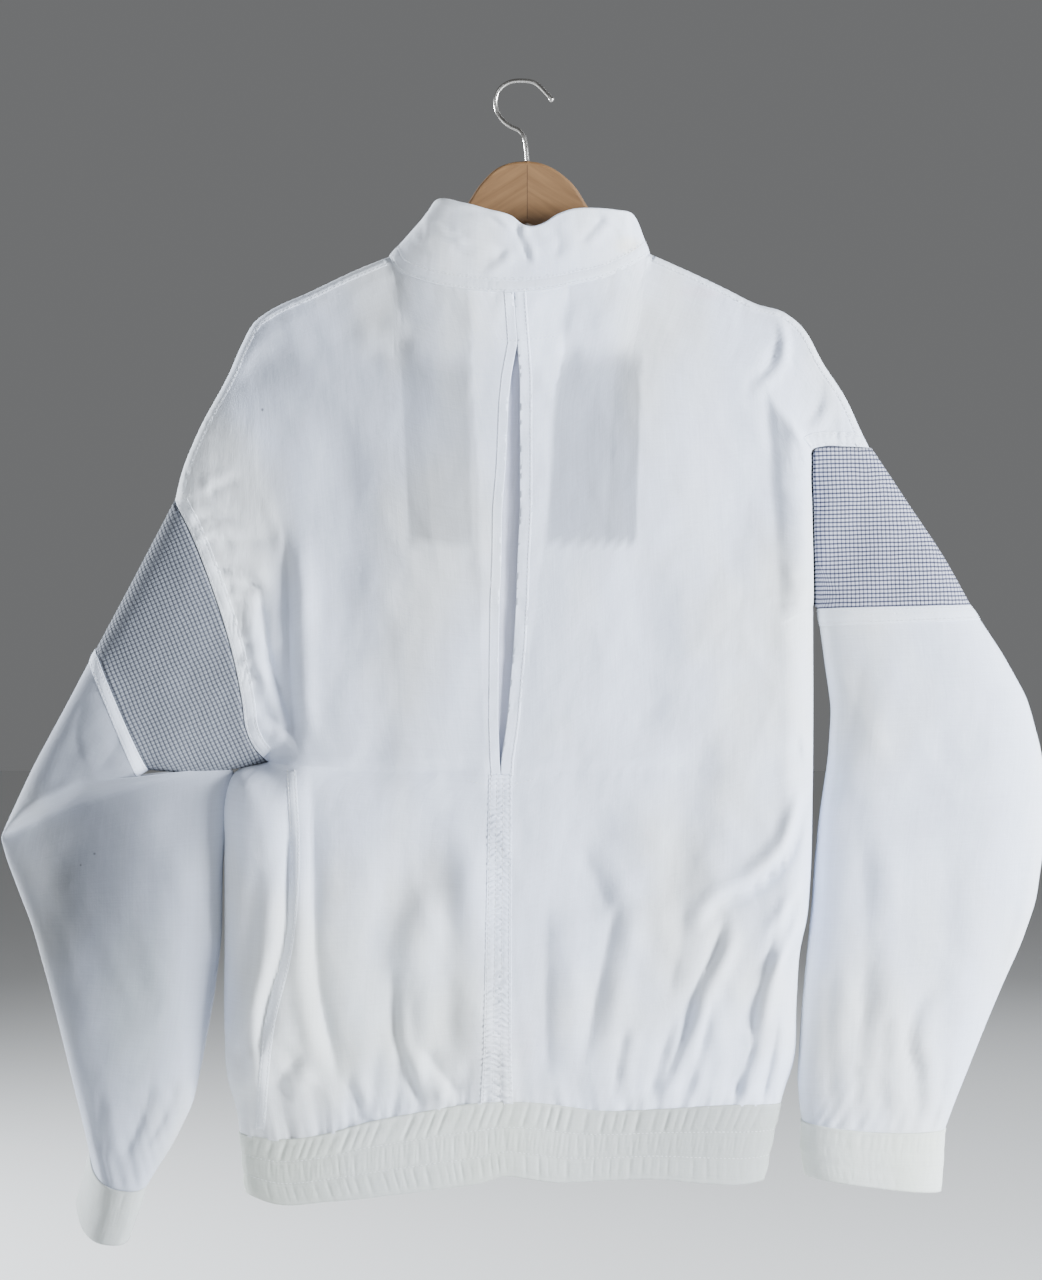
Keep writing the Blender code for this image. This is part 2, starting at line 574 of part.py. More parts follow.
def even_round(half_width, half_depth, fractions):
    """Points round a flattened oval, evenly spaced, as shares across it and depths."""
    turn = np.linspace(0, 2 * math.pi, 721)
    power = 2 / OVAL_POWER
    x = np.sign(np.cos(turn)) * np.abs(np.cos(turn)) ** power
    y = np.sign(np.sin(turn)) * np.abs(np.sin(turn)) ** power
    length = np.concatenate([[0], np.cumsum(np.hypot(np.diff(x * half_width), np.diff(y * half_depth)))])
    at = np.asarray(fractions) * length[-1]
    return np.interp(at, length, x), np.interp(at, length, y)


def waves(count):
    """Alternate ridges and troughs, uneven in height, two grid lines to a wave."""
    step = np.arange(2 * count)
    return np.where(step % 2 == 0, 1.0, -1.0) * (0.72 + 0.28 * np.sin(2.3 * step) * np.cos(0.7 * step))


def make_cuff(side, sections):
    """An elastic cuff, gathered in waves round its sleeve's end."""
    rows = np.array(sections, float)
    ridge = waves(CUFF_WAVES)
    across, depth = even_round(CUFF_HALF_WIDTH, CUFF_HALF_DEPTH, np.arange(2 * CUFF_WAVES) / (2 * CUFF_WAVES))
    share = (across + 1) / 2
    rings = []
    for up, height in CUFF_ROWS:
        row = np.array([np.interp(up * (len(rows) - 1), np.arange(len(rows)), rows[:, k]) for k in range(9)])
        outer, inner = row[0:2], row[2:4]
        half = np.linalg.norm(inner - outer) / 2
        near_y = np.where(depth > 0, -depth * (row[4] + height * ridge), -depth * (row[5] + height * ridge))
        stretch = 1 + np.abs(across) ** 4 * height * ridge / half
        flat = (outer + inner) / 2 + (inner - outer) / 2 * (across * stretch)[:, None]
        flat = flat + np.array((0, 1.0)) * (row[6] * 4 * share * (1 - share))[:, None]
        flat = flat + row[7:9] * depth[:, None]
        rings.append(np.stack([flat[:, 0], near_y, flat[:, 1]], axis=1))
    cloth_from_grid(f"cuff_{side}", np.array(rings), BAND_CLOTH, closed=True)


def make_waistband():
    """The elastic waistband, from one side of the front zip round the back to the other."""
    middle = (WAIST_SEAM[0][0] + WAIST_SEAM[-1][0]) / 2
    half = (WAIST_SEAM[-1][0] - WAIST_SEAM[0][0]) / 2
    count = 2 * WAIST_WAVES
    ridge = waves(WAIST_WAVES)
    zip_share = (FRONT_CENTRE - middle) / half
    fractions = np.linspace(0, 1, count)
    spread, _ = even_round(half, WAIST_DEPTH, np.linspace(0, 1, 721))
    quarter = np.interp(-zip_share, -spread[:361], np.linspace(0, 0.5, 361))
    edge = FRONT_EDGE / (4 * half + 4 * WAIST_DEPTH) * BAND_END_EASE
    turn = quarter + edge + fractions * (1 - 2 * edge)
    across, depth = even_round(half, WAIST_DEPTH, turn % 1.0)
    share = (across + 1) / 2
    seam, hem = curve_through(WAIST_SEAM, share), curve_through(HEM, share)
    calm = np.minimum(1, np.maximum(0, np.abs(across - zip_share) * half - ZIP_FLAT) / ZIP_FADE)
    calm = np.where(depth > 0, calm, 1)
    rows = []
    for up, height in WAIST_ROWS:
        flat = seam + (hem - seam) * up
        flat[:, 1] += WAIST_GAP * (1 - up)
        out = height * ridge * calm
        sideways = np.abs(across) ** SIDE_SHARPNESS
        x = flat[:, 0] + np.sign(across) * sideways * out
        y = depth * (WAIST_DEPTH - HEM_LEAN * up) + np.sign(depth) * (1 - sideways) * out
        rows.append(np.stack([x, y, flat[:, 1]], axis=1))
    grid = np.array(rows)
    cloth_from_grid("waistband", grid, BAND_CLOTH)
    return grid


def make_collar():
    """The stand collar, from one side of the front zip round the neck to the other."""
    steps = np.array(NECK_SHARES)
    rows = []
    for up in (0, 0.12, 0.4, 0.7, 1):
        edges = []
        for low, high, middle, inset in ((NECK_BACK, COLLAR_TOP_BACK, SLIT[0][1], 0),
                                         (NECK_FRONT, COLLAR_TOP_FRONT, FRONT_CENTRE, FRONT_EDGE)):
            lines = []
            for edge in (low, high):
                left_x = middle - inset + (edge[0][0] - middle + inset) * steps
                right_x = middle + inset + (edge[-1][0] - middle - inset) * steps
                right_x = right_x[1:] if inset == 0 else right_x
                lines.append(on_curve_at(edge, np.concatenate([left_x[::-1], right_x])))
            edges.append(lines[0] * (1 - up) + lines[1] * up)
        back, front = edges
        left, right = front[: len(steps)][::-1], front[len(steps):][::-1]
        first, last = back[0, 0], back[-1, 0]
        deep = NECK_DEPTH + (COLLAR_DEPTH - NECK_DEPTH) * up
        ring = []
        for flat, side in ((left[:-1], 1), (back, -1), (right[1:], 1)):
            profile = oval(np.clip((flat[:, 0] - first) / (last - first), 0, 1))
            lift = (COLLAR_LIFT + CORNER_LIFT * (1 - profile)) * (1 - up)
            ring.append(np.stack([flat[:, 0], side * deep * profile, flat[:, 1] - lift], axis=1))
        rows.append(np.concatenate(ring))
    grid = np.array(rows)
    cloth_from_grid("collar", grid, WHITE_CLOTH)
    return grid


def make_zip_tapes(front_columns):
    """The two tapes behind the front edges, from the hem to the collar's top."""
    for side, direction in (("left", -1), ("right", 1)):
        line = np.concatenate(front_columns[side])
        line = line[np.argsort(line[:, 2])]
        inside = line[(line[:, 2] > TAPE_TOP + TAPE_MARGIN) & (line[:, 2] < TAPE_FOOT - TAPE_MARGIN), 2]
        apart = np.concatenate([[True], np.diff(inside) > TAPE_STEP])
        drops = np.concatenate([[TAPE_TOP], inside[apart], [TAPE_FOOT]])
        depth = np.interp(drops, line[:, 2], line[:, 1]) - TAPE_BEHIND
        near = FRONT_CENTRE + direction * HALF_GAP
        far = FRONT_CENTRE + direction * TAPE_WIDTH
        edges = ((near, depth), (far, depth - TAPE_SLOPE))
        grid = np.stack([np.stack([np.full(len(drops), x), y, drops], axis=1) for x, y in edges], axis=1)
        cloth_from_grid(f"zip_tape_{side}", grid, TAPE_FINISH, TAPE_CLOTH)


def solid_from_outlines(name, outlines, thickness, finish, bevel):
    """A plate of x and drop outlines, the first one solid and the others cut through it."""
    data = bpy.data.curves.new(name, "CURVE")
    data.dimensions = "2D"
    data.fill_mode = "BOTH"
    data.extrude = thickness * MM / 2
    for outline in outlines:
        spline = data.splines.new("POLY")
        spline.points.add(len(outline) - 1)
        for point, (x, drop) in zip(spline.points, outline):
            point.co = (x * MM, -drop * MM, 0, 1)
        spline.use_cyclic_u = True
    flat = bpy.data.objects.new(name + "_outline", data)
    PARTS.objects.link(flat)
    bpy.context.view_layer.update()
    mesh = bpy.data.meshes.new_from_object(flat.evaluated_get(bpy.context.evaluated_depsgraph_get()))
    bpy.data.objects.remove(flat)
    work = bmesh.new()
    work.from_mesh(mesh)
    bmesh.ops.remove_doubles(work, verts=work.verts, dist=1e-6)
    bmesh.ops.recalc_face_normals(work, faces=work.faces)
    work.to_mesh(mesh)
    work.free()
    mesh.transform(Matrix.Rotation(math.pi / 2, 4, "X"))
    mesh.materials.clear()
    mesh.materials.append(finish)
    made = bpy.data.objects.new(name, mesh)
    PARTS.objects.link(made)
    if bevel:
        edge = made.modifiers.new("edges", "BEVEL")
        edge.width = bevel * MM
        edge.segments = 2
        edge.limit_method = "ANGLE"
        edge.angle_limit = math.radians(60)
    return made


def make_hanger():
    """The two wooden halves of the hanger and its wire hook."""
    solid_from_outlines("hanger_arm_left", (ARM_LEFT,), ARM_THICK, WOOD, ARM_BEVEL)
    solid_from_outlines("hanger_arm_right", (ARM_RIGHT,), ARM_THICK, WOOD, ARM_BEVEL)
    route = curve_through(HOOK, np.linspace(0, 1, HOOK_POINTS))
    data = bpy.data.curves.new("hanger_hook", "CURVE")
    data.dimensions = "3D"
    data.bevel_depth = WIRE * MM / 2
    data.bevel_resolution = 2
    data.use_fill_caps = True
    spline = data.splines.new("POLY")
    spline.points.add(len(route) - 1)
    for index, (point, (x, drop)) in enumerate(zip(spline.points, route)):
        point.co = (x * MM, 0, -drop * MM, 1)
        from_tip = len(route) - 1 - index
        point.radius = (0.75, 1.3, 1.35)[from_tip] if from_tip < 3 else 1.0
    data.materials.append(CHROME)
    hook = bpy.data.objects.new("hanger_hook", data)
    PARTS.objects.link(hook)


def box(name, size, centre, finish):
    """A box of a size in millimetres at a world place in millimetres."""
    bpy.ops.mesh.primitive_cube_add(size=1, location=[c * MM for c in centre])
    made = bpy.context.object
    made.name = name
    made.scale = [v * MM for v in size]
    bpy.ops.object.transform_apply(location=False, scale=True)
    for holder in list(made.users_collection):
        holder.objects.unlink(made)
    PARTS.objects.link(made)
    made.data.materials.append(finish)
    return made


def make_slider_and_pull():
    """The zip's slider with its bridge, and the pull tab that hangs on the bridge."""
    tape_face = COLLAR_DEPTH - CLOTH / 2 - SEAM_GAP
    back = tape_face + SEAM_GAP
    face = back + SLIDER_THICK
    slider = box("zip_slider", (SLIDER_WIDTH, SLIDER_THICK, SLIDER_TALL),
                 (FRONT_CENTRE, back + SLIDER_THICK / 2, -SLIDER_DROP), CHROME)
    edges = slider.modifiers.new("edges", "BEVEL")
    edges.width = SLIDER_BEVEL * MM
    edges.segments = 2
    low, high = -BRIDGE_TALL / 2, BRIDGE_TALL / 2
    root, top, bar = face - BRIDGE_SINK, face + BRIDGE_OUT, face + BRIDGE_OUT - BRIDGE_BAR
    staple = (
        (root, low), (top - BRIDGE_CORNER_OUT, low), (top, low + BRIDGE_CORNER_TALL),
        (top, high - BRIDGE_CORNER_TALL), (top - BRIDGE_CORNER_OUT, high), (root, high),
        (root, high - BRIDGE_BAR), (bar, high - BRIDGE_BAR),
        (bar, low + BRIDGE_BAR), (root, low + BRIDGE_BAR),
    )
    bridge = solid_from_outlines("bridge_outline", (staple,), BRIDGE_WIDTH, CHROME, 0)
    bridge.data.transform(Matrix.Rotation(math.pi / 2, 4, "Z"))
    bridge.data.transform(Matrix.Translation((FRONT_CENTRE * MM, 0, -SLIDER_DROP * MM)))
    join = slider.modifiers.new("bridge", "BOOLEAN")
    join.operation = "UNION"
    join.object = bridge
    bridge.hide_render = True
    bridge.display_type = "WIRE"
    PARTS.objects.unlink(bridge)
    CUTTERS.objects.link(bridge)

    axis_depth = face + (BRIDGE_OUT - BRIDGE_BAR) / 2
    axis_drop = SLIDER_DROP + PULL_HANG
    half = PULL_WIDTH / 2
    head = -PULL_BAR / 2
    outline = (
        (-half + PULL_SHOULDER, head), (half - PULL_SHOULDER, head), (half, head + PULL_SHOULDER),
        (half, PULL_LONG - PULL_ROUND), (half - PULL_ROUND, PULL_LONG), (-half + PULL_ROUND, PULL_LONG),
        (-half, PULL_LONG - PULL_ROUND), (-half, head + PULL_SHOULDER),
    )
    eye_foot = PULL_BAR / 2 + PULL_EYE_LONG
    eye_half = PULL_EYE_WIDTH / 2
    eye = ((-eye_half, PULL_BAR / 2), (eye_half, PULL_BAR / 2), (eye_half, eye_foot), (-eye_half, eye_foot))
    pull = solid_from_outlines("zip_pull", (outline, eye), PULL_THICK, CHROME, 0)
    pull.location = (FRONT_CENTRE * MM, axis_depth * MM, -axis_drop * MM)


for old in list(bpy.data.objects):
    bpy.data.objects.remove(old, do_unlink=True)
PARTS = bpy.data.collections.new(COLLECTION)
CUTTERS = bpy.data.collections.new("cutters")
bpy.context.scene.collection.children.link(PARTS)
bpy.context.scene.collection.children.link(CUTTERS)
WHITE_CLOTH = material("white_cotton", (0.80, 0.82, 0.85), 0.75)
BAND_CLOTH = material("elastic_band_cotton", (0.78, 0.80, 0.79), 0.78)
MESH_CLOTH = material("checked_mesh", (0.42, 0.47, 0.55), 0.85)
PLEAT_FINISH = material("pleat_cotton", (0.55, 0.58, 0.63), 0.8)
TAPE_FINISH = material("zip_tape_cotton", (0.82, 0.83, 0.84), 0.8)
WOOD = material("beech", (0.62, 0.42, 0.25), 0.45)
CHROME = material("chrome_wire", (0.72, 0.72, 0.72), 0.2, 1.0)

GRIDS = make_body()
make_pleat(GRIDS)
for name_of_side in ("left", "right"):
    make_mesh_band(name_of_side)
make_lower_sleeves()
make_cuff("left", CUFF_LEFT)
make_cuff("right", CUFF_RIGHT)
WAISTBAND = make_waistband()
COLLAR = make_collar()
FRONT_COLUMNS = {
    "left": (COLLAR[:, 0], GRIDS["front", "left"][:, 0], WAISTBAND[:, 0]),
    "right": (COLLAR[:, -1], GRIDS["front", "right"][:, 0], WAISTBAND[:, -1]),
}
make_zip_tapes(FRONT_COLUMNS)
make_slider_and_pull()
make_hanger()
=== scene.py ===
"""Dresses a racing jacket on its wooden hanger: cloth with folds, gathers, felled seams and stitches.

Places are written in millimetres as x, to the viewer's right, and drop, down from the inside
top of the hanger's hook. The world is in metres, with +Z up and the jacket's back towards -Y.
"""

import math

import bpy
import numpy as np
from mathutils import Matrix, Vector
from mathutils.bvhtree import BVHTree


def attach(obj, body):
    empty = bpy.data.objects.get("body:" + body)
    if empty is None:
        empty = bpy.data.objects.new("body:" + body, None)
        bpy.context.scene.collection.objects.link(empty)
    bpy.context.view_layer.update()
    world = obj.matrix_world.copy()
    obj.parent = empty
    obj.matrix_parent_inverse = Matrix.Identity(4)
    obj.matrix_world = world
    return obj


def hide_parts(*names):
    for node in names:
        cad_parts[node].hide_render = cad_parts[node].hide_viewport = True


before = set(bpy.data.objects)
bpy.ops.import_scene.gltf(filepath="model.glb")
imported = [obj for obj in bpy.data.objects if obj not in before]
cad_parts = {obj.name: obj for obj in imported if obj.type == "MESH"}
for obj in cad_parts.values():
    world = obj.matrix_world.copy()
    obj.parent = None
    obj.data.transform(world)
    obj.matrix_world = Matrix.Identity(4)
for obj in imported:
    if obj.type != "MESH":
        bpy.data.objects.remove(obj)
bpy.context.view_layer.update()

MM = 0.001

# Thicknesses of the cloth's walls, and the least half depth that is left inside a fold
THIN = 0.7
BAND_THICKNESS = 1.4
TAPE_THICKNESS = 0.8
ROUND_FELL_THICKNESS = 0.5
STRIP_THICKNESS = 0.3
FOLD_GAP = 0.4

# How deep creases and crumples are modelled, and how much darker a trough is coloured, as painted shade
FOLD_STRENGTH = 1.7
SLEEVE_FOLD_SHARE = 0.5
CRUMPLE_STRENGTH = 1.2
CREASE_SHADE = 0.022
SHADE_DEPTH = 8.0

# Half depths of the hanging jacket, from its middle plane to its near or far cloth
CHEST_DEPTH = 43.0
SHOULDER_DEPTH = 9.0
SHOULDER_ROUND = 6.0
CHEST_REACH = 130.0
SIDE_ROUND = 36.0
SIDE_ROUND_RIGHT = 26.0
ARMHOLE_DEPTH = 24.0
NECK_DEPTH = 30.0
WAIST_DEPTH = 33.0
OVAL_POWER = 2.6

# Over what share of its height a panel is fitted to its waist and neck, and how the line below
# each end of the neck is softened: over how many millimetres, and from what share down
EDGE_FIT = 0.3
NECK_SOFT_REACH = 9
NECK_SOFT_START = 0.06
CORNER_STEEPNESS = 1.15

# Grid lines of the cloth, as fractions: across from the centre to the side, and up from the hem,
# and how many steps lie between two of them across, in the lower part and in the upper part
ACROSS = (0, 0.06, 0.14, 0.22, 0.31, 0.4, 0.49, 0.58, 0.66, 0.74, 0.81, 0.87, 0.92, 0.955, 0.98, 0.994, 1)
UP_LOWER = (0, 0.012, 0.06, 0.13, 0.22, 0.32, 0.43, 0.54, 0.65, 0.76, 0.87, 0.95, 1)
UP_UPPER = (0, 0.015, 0.06, 0.15, 0.28, 0.42, 0.57, 0.72, 0.85, 0.935, 0.98, 0.9975, 1)
SLEEVE_ACROSS = tuple(1 - up for up in reversed(UP_UPPER))
BODY_STEPS = {"back": (7, 7, 8), "front": (5, 5, 6)}
NECK_CORNER = 6
NECK_SHARES = (0, 0.2, 0.42, 0.64, 0.84, 0.965, 1)
SHOULDER_SHARES = (0, 0.14, 0.27, 0.37, 0.46, 0.56, 0.68, 0.8, 0.91, 0.972, 1)

# Outlines as (x, drop) rows
SHOULDER_LEFT = ((-106, 139), (-133, 150), (-171, 168), (-203, 183), (-214, 191), (-225, 210),
                 (-235, 233), (-259, 278), (-273, 313), (-278, 334))
SHOULDER_RIGHT = ((100, 137), (138, 154), (163, 166), (185, 177), (208, 184), (220, 193),
                  (240, 226), (257, 252), (270, 280), (276, 292))
NECK_BACK = ((-106, 139), (-99, 151), (-81, 160), (-56, 166), (-32, 169), (-8, 170), (18, 168),
             (42, 163), (63, 158), (82, 149), (92, 143), (100, 137))
NECK_FRONT = ((-106, 139), (-99, 152), (-88, 170), (-72, 192), (-44, 212), (-3, 222), (38, 211),
              (66, 190), (82, 167), (93, 149), (100, 137))
COLLAR_TOP_BACK = ((-75, 104), (-70, 97), (-47, 100), (-26, 106), (-11, 110), (4, 119), (14, 117),
                   (27, 109), (39, 105), (54, 104), (73, 105), (86, 107), (92, 115))
COLLAR_TOP_FRONT = ((-75, 104), (-66, 124), (-42, 148), (-3, 160), (40, 150), (76, 132), (92, 115))
WAIST_SEAM = ((-226, 840), (-195, 842.5), (-160, 838), (-125, 828), (-80, 819), (-30, 811.5),
              (12, 812), (60, 818), (112, 817), (157, 815), (205, 816))
HEM = ((-222, 886), (-197, 893), (-154, 890), (-110, 885), (-65, 879), (-36, 875), (-15, 869),
       (3, 871), (24, 874), (53, 873), (106, 872), (142, 876), (172, 878), (192, 876))
SIDE_LEFT = ((-226, 840), (-229, 820), (-236, 796), (-238.5, 757), (-238.5, 690), (-238.5, 640),
             (-238.5, 604), (-238, 572), (-231, 552), (-203.5, 543))
SIDE_RIGHT = ((205, 816), (209, 802), (215, 785), (217.8, 734), (221, 690), (226, 668), (228.5, 640),
              (230.5, 568), (231, 514), (231, 446), (231, 418))
ARMHOLE_LEFT = ((-203.5, 543), (-214, 531), (-220, 517), (-223, 495), (-229, 463), (-238, 430),
                (-249, 398), (-264, 361), (-278, 334))
ARMHOLE_RIGHT = ((231, 418), (230, 380), (229, 340), (228.5, 305), (229.5, 294), (238, 291.5),
                 (255, 291.5), (276, 292))

# The shoulder, the side and the armhole of each half of the body
PANEL_EDGES = {
    "left": (SHOULDER_LEFT, SIDE_LEFT, ARMHOLE_LEFT),
    "right": (SHOULDER_RIGHT, SIDE_RIGHT, ARMHOLE_RIGHT),
}

# The slit down the back's centre as (drop, left edge x, right edge x), closed above and below
SLIT = ((170, -8, -8), (211, -5, -5), (238, -10, -3), (258, -12, -3), (306, -14, -3), (343, -17, -3),
        (382, -17.5, -5), (416, -19, -6), (451, -19.5, -8), (509, -20, -13), (540, -19, -17.5),
        (553, -18, -18))
WAIST_CENTRE = (-21, 811)
FRONT_CENTRE = -3
FRONT_EDGE = 4
ARMHOLE_CORNER = 0.68
NECK_FRONT_DROP = 222
FRONT_SPLIT_DROP = 480

# The underlay inside the slit as (drop, left edge x, right edge x)
PLEAT = ((214, -46, 34), (300, -43, 26), (390, -40, 16), (470, -36, 6), (556, -32, -6))
PLEAT_BEHIND = 3.2

# Creases as (depth of the trough, half width, height of the ridge beside it, line from the top down).
# The ridge stands on the viewer's right of the line, or on the left where its height is negative.
BACK_CREASES = (
    # left of the centre seam, from the side inwards
    (7.5, 7.5, -3, ((-185, 560), (-186, 640), (-188, 680), (-198, 716), (-206, 750), (-211, 786))),
    (4, 12, 2, ((-192, 590), (-214, 680), (-223, 735), (-222, 800))),
    (4.5, 7, -2.2, ((-168, 540), (-166, 616), (-165, 672), (-162, 716), (-151, 770), (-144, 806))),
    (3.4, 16, 2, ((-66, 570), (-86, 632), (-104, 665), (-110, 700), (-104, 722), (-97, 790))),
    (3, 4, 1.5, ((-103, 700), (-98, 770), (-86, 800), (-80, 822))),
    (3, 12, 3, ((-62, 590), (-61, 700), (-58, 800))),
    (3, 5, -2, ((-84, 764), (-66, 786), (-50, 808))),
    (3, 7, 2, ((-172, 772), (-190, 792), (-182, 816))),
    (2.5, 4, 1.5, ((-140, 790), (-132, 806), (-128, 830))),
    (2, 6, 1.5, ((-222, 762), (-226, 800))),
    (3, 20, 0, ((-150, 250), (-140, 380), (-150, 500))),
    (2.5, 26, 0, ((-120, 400), (-118, 500), (-122, 590))),
    # under and beside the left armhole
    (5, 7, 2.5, ((-190, 340), (-188, 384), (-186, 454), (-183, 512), (-174, 544))),
    (5, 4.5, -2.2, ((-210, 398), (-205, 444), (-197, 478), (-190, 494), (-180, 528))),
    (3, 5, 1.5, ((-254, 386), (-229, 392), (-204, 406))),
    (2, 4, 1, ((-268, 349), (-246, 348), (-226, 352))),
    (2.5, 10, 1, ((-244, 370), (-222, 366), (-192, 364))),
    (2.5, 5, -1.5, ((-214, 498), (-198, 508), (-182, 522))),
    (2, 4, 1, ((-226, 446), (-210, 452), (-200, 462))),
    (2, 4, 1, ((-236, 414), (-216, 418), (-206, 426))),
    # shoulders and yoke
    (1.5, 12, 1, ((-244, 246), (-210, 228), (-180, 214))),
    (1.6, 4, 1, ((-254, 330), (-238, 322), (-222, 318))),
    (1.6, 4, 1, ((-240, 400), (-222, 402), (-208, 410))),
    (1.6, 4, 1, ((-228, 470), (-212, 474), (-202, 484))),
    (1.4, 3.5, 0.8, ((-262, 372), (-246, 366), (-228, 366))),
    (2, 9, 1, ((-130, 224), (-108, 216), (-84, 210))),
    (2, 10, 1, ((26, 214), (52, 216), (84, 224))),
    (2.6, 4, 1.6, ((202, 186), (201, 216), (194, 230), (172, 246))),
    (2, 3.5, -1.4, ((211, 184), (213, 205), (212, 230))),
    (2, 3.5, 1.2, ((241, 230), (236, 258), (222, 280))),
    (2, 4, 1.5, ((222, 196), (228, 214), (236, 226))),
    (2, 22, 0, ((150, 230), (166, 320), (160, 420))),
    (2.5, 24, 0, ((90, 360), (96, 450), (88, 540))),
    # right of the centre seam, from the side inwards
    (8, 5, -4.5, ((234, 560), (223, 584), (209, 615), (183, 638), (152, 657), (136, 676))),
    (4.4, 5, 2.4, ((160, 655), (153, 686), (137, 718), (126, 758), (106, 812))),
    (5.2, 4, -3.2, ((233, 640), (215, 655), (204, 671), (190, 679))),
    (3.8, 5, 2, ((197, 676), (190, 706), (182, 736), (180, 768))),
    (4.5, 4, -2.8, ((230, 668), (213, 694), (197, 722))),
    (3, 6, 2, ((214, 520), (222, 545), (226, 566))),
    (2.2, 15, 1.2, ((142, 500), (131, 590), (120, 640), (106, 676))),
    (1.8, 9, 1, ((128, 646), (120, 700), (112, 730))),
    (2.8, 8, 1.8, ((78, 640), (66, 690), (58, 730), (44, 790))),
    (2, 8, 1, ((42, 608), (58, 634), (70, 662))),
    (2.5, 10, 1.5, ((20, 640), (18, 720), (20, 800))),
    (2.5, 5, 1.5, ((122, 736), (108, 780), (98, 812))),
    (2.5, 5, 1.5, ((150, 722), (140, 770), (128, 812))),
    (3, 5, 1.5, ((186, 752), (176, 784), (166, 812))),
    (2.5, 4, 1.2, ((202, 744), (196, 780), (190, 812))),
    (2, 4, 1, ((82, 748), (74, 790), (72, 815))),
    (2, 26, 0, ((60, 560), (52, 620), (46, 680))),
    (1.2, 5, 0.6, ((-179, 547), (-110, 549), (-24, 548))),
    (1.2, 5, 0.6, ((-8, 548), (90, 549), (173, 546))),
)
FRONT_CREASES = (
    (8, 8, -3, ((-186, 560), (-190, 650), (-200, 720), (-208, 786))),
    (5, 10, 2.5, ((-140, 600), (-132, 680), (-140, 750), (-136, 812))),
    (4, 16, 2, ((-80, 560), (-92, 660), (-84, 780))),
    (3, 8, 1.5, ((-40, 640), (-46, 720), (-40, 800))),
    (7, 9, 3, ((-192, 360), (-188, 450), (-182, 530))),
    (4, 6, -2, ((-212, 400), (-200, 470), (-186, 520))),
    (8, 7, -3, ((230, 566), (206, 615), (172, 648), (148, 668))),
    (6, 8, 2.5, ((160, 655), (150, 700), (130, 760), (112, 812))),
    (5, 7, -2.5, ((226, 660), (206, 690), (190, 730), (184, 780))),
    (4, 12, 2, ((90, 600), (78, 690), (64, 790))),
    (3, 9, 1.5, ((30, 640), (26, 720), (30, 800))),
    (4, 14, 2, ((-150, 210), (-140, 330), (-150, 440))),
    (4, 14, 2, ((150, 220), (146, 320), (160, 420))),
    (3, 10, 1, ((-90, 230), (-60, 250), (-30, 262))),
    (3, 10, 1, ((26, 262), (60, 248), (88, 226))),
)

# Sleeve sections: outer x and drop, inner x and drop, near and far half depth, the bow of the
# section across its chord, and how far x and drop lean from the far cloth to the near cloth
MESH_SEAM_LEFT = (-341, 453, -300, 549, 25, 25, 0, 0, 0)
MESH_SEAM_RIGHT = (357, 418, 235.5, 421, 22, 24, 0, 0, 0)
LOWER_LEFT = (
    (-366, 500, -304, 550.7, 26, 25, 2, 0, 0),
    (-392, 548, -307, 552.8, 27, 25, -4, 0, 0),
    (-415, 598, -308.5, 555.4, 26, 24, -12, 0, 0),
    (-417.5, 604, -230, 546, 9, 24, -10, 0, 0),
    (-413, 620, -236, 574, 17, 26, -6, 0, 0),
    (-403, 646, -241, 630, 24, 27, -2, 0, 0),
    (-392, 674, -241.3, 682, 27, 28, 0, 0, 0),
    (-378, 724, -248, 733, 28, 28, 0, 0, 0),
    (-367, 768, -256.5, 779, 29, 29, 0, 1, 2),
    (-358, 806, -264, 814, 31, 31, 0, 3, 5),
    (-351, 834, -280, 843, 34, 34, 0, 5, 11),
    (-345.5, 860, -300, 865, 37, 37, 0, 8, 18),
)
CUFF_LEFT = (
    (-345.7, 860.6, -300.2, 865.6, 37, 37, 0, 8, 18),
    (-350, 882, -307, 886, 38, 38, 0, 9, 17),
    (-356, 905, -316, 908, 36, 36, 0, 10, 16),
)
LOWER_RIGHT = (
    (382, 456, 241, 462, 26, 26, 0, 0, 0),
    (402, 492, 246.5, 500, 28, 27, 0, 0, 0),
    (413, 533, 244, 540, 30, 28, 0, 0, 0),
    (418, 574, 237, 585, 31, 29, 0, 0, 0),
    (415, 610, 233, 625, 31, 29, 0, 0, 0),
    (409, 654, 230.5, 662, 30, 29, 0, 0, 0),
    (397, 688, 227, 697, 29, 29, 0, 0, 0),
    (382, 721, 223.2, 735, 29, 29, 0, 0, 0),
    (369, 752, 221.2, 766, 29, 29, 0, 0, 0),
    (357, 782, 219.5, 795, 29, 29, 0, 0, 0),
    (345, 812, 221, 817, 28, 28, 0, 0, 0),
    (336, 836, 223, 830, 27, 27, 3, 0, 0),
)
CUFF_RIGHT = (
    (336, 836.5, 223, 830.5, 27, 27, 3, 0, 0),
    (335, 861, 222, 852, 27, 27, 2, 0, 0),
    (333, 885, 225, 872, 26, 26, 1, 0, 0),
)
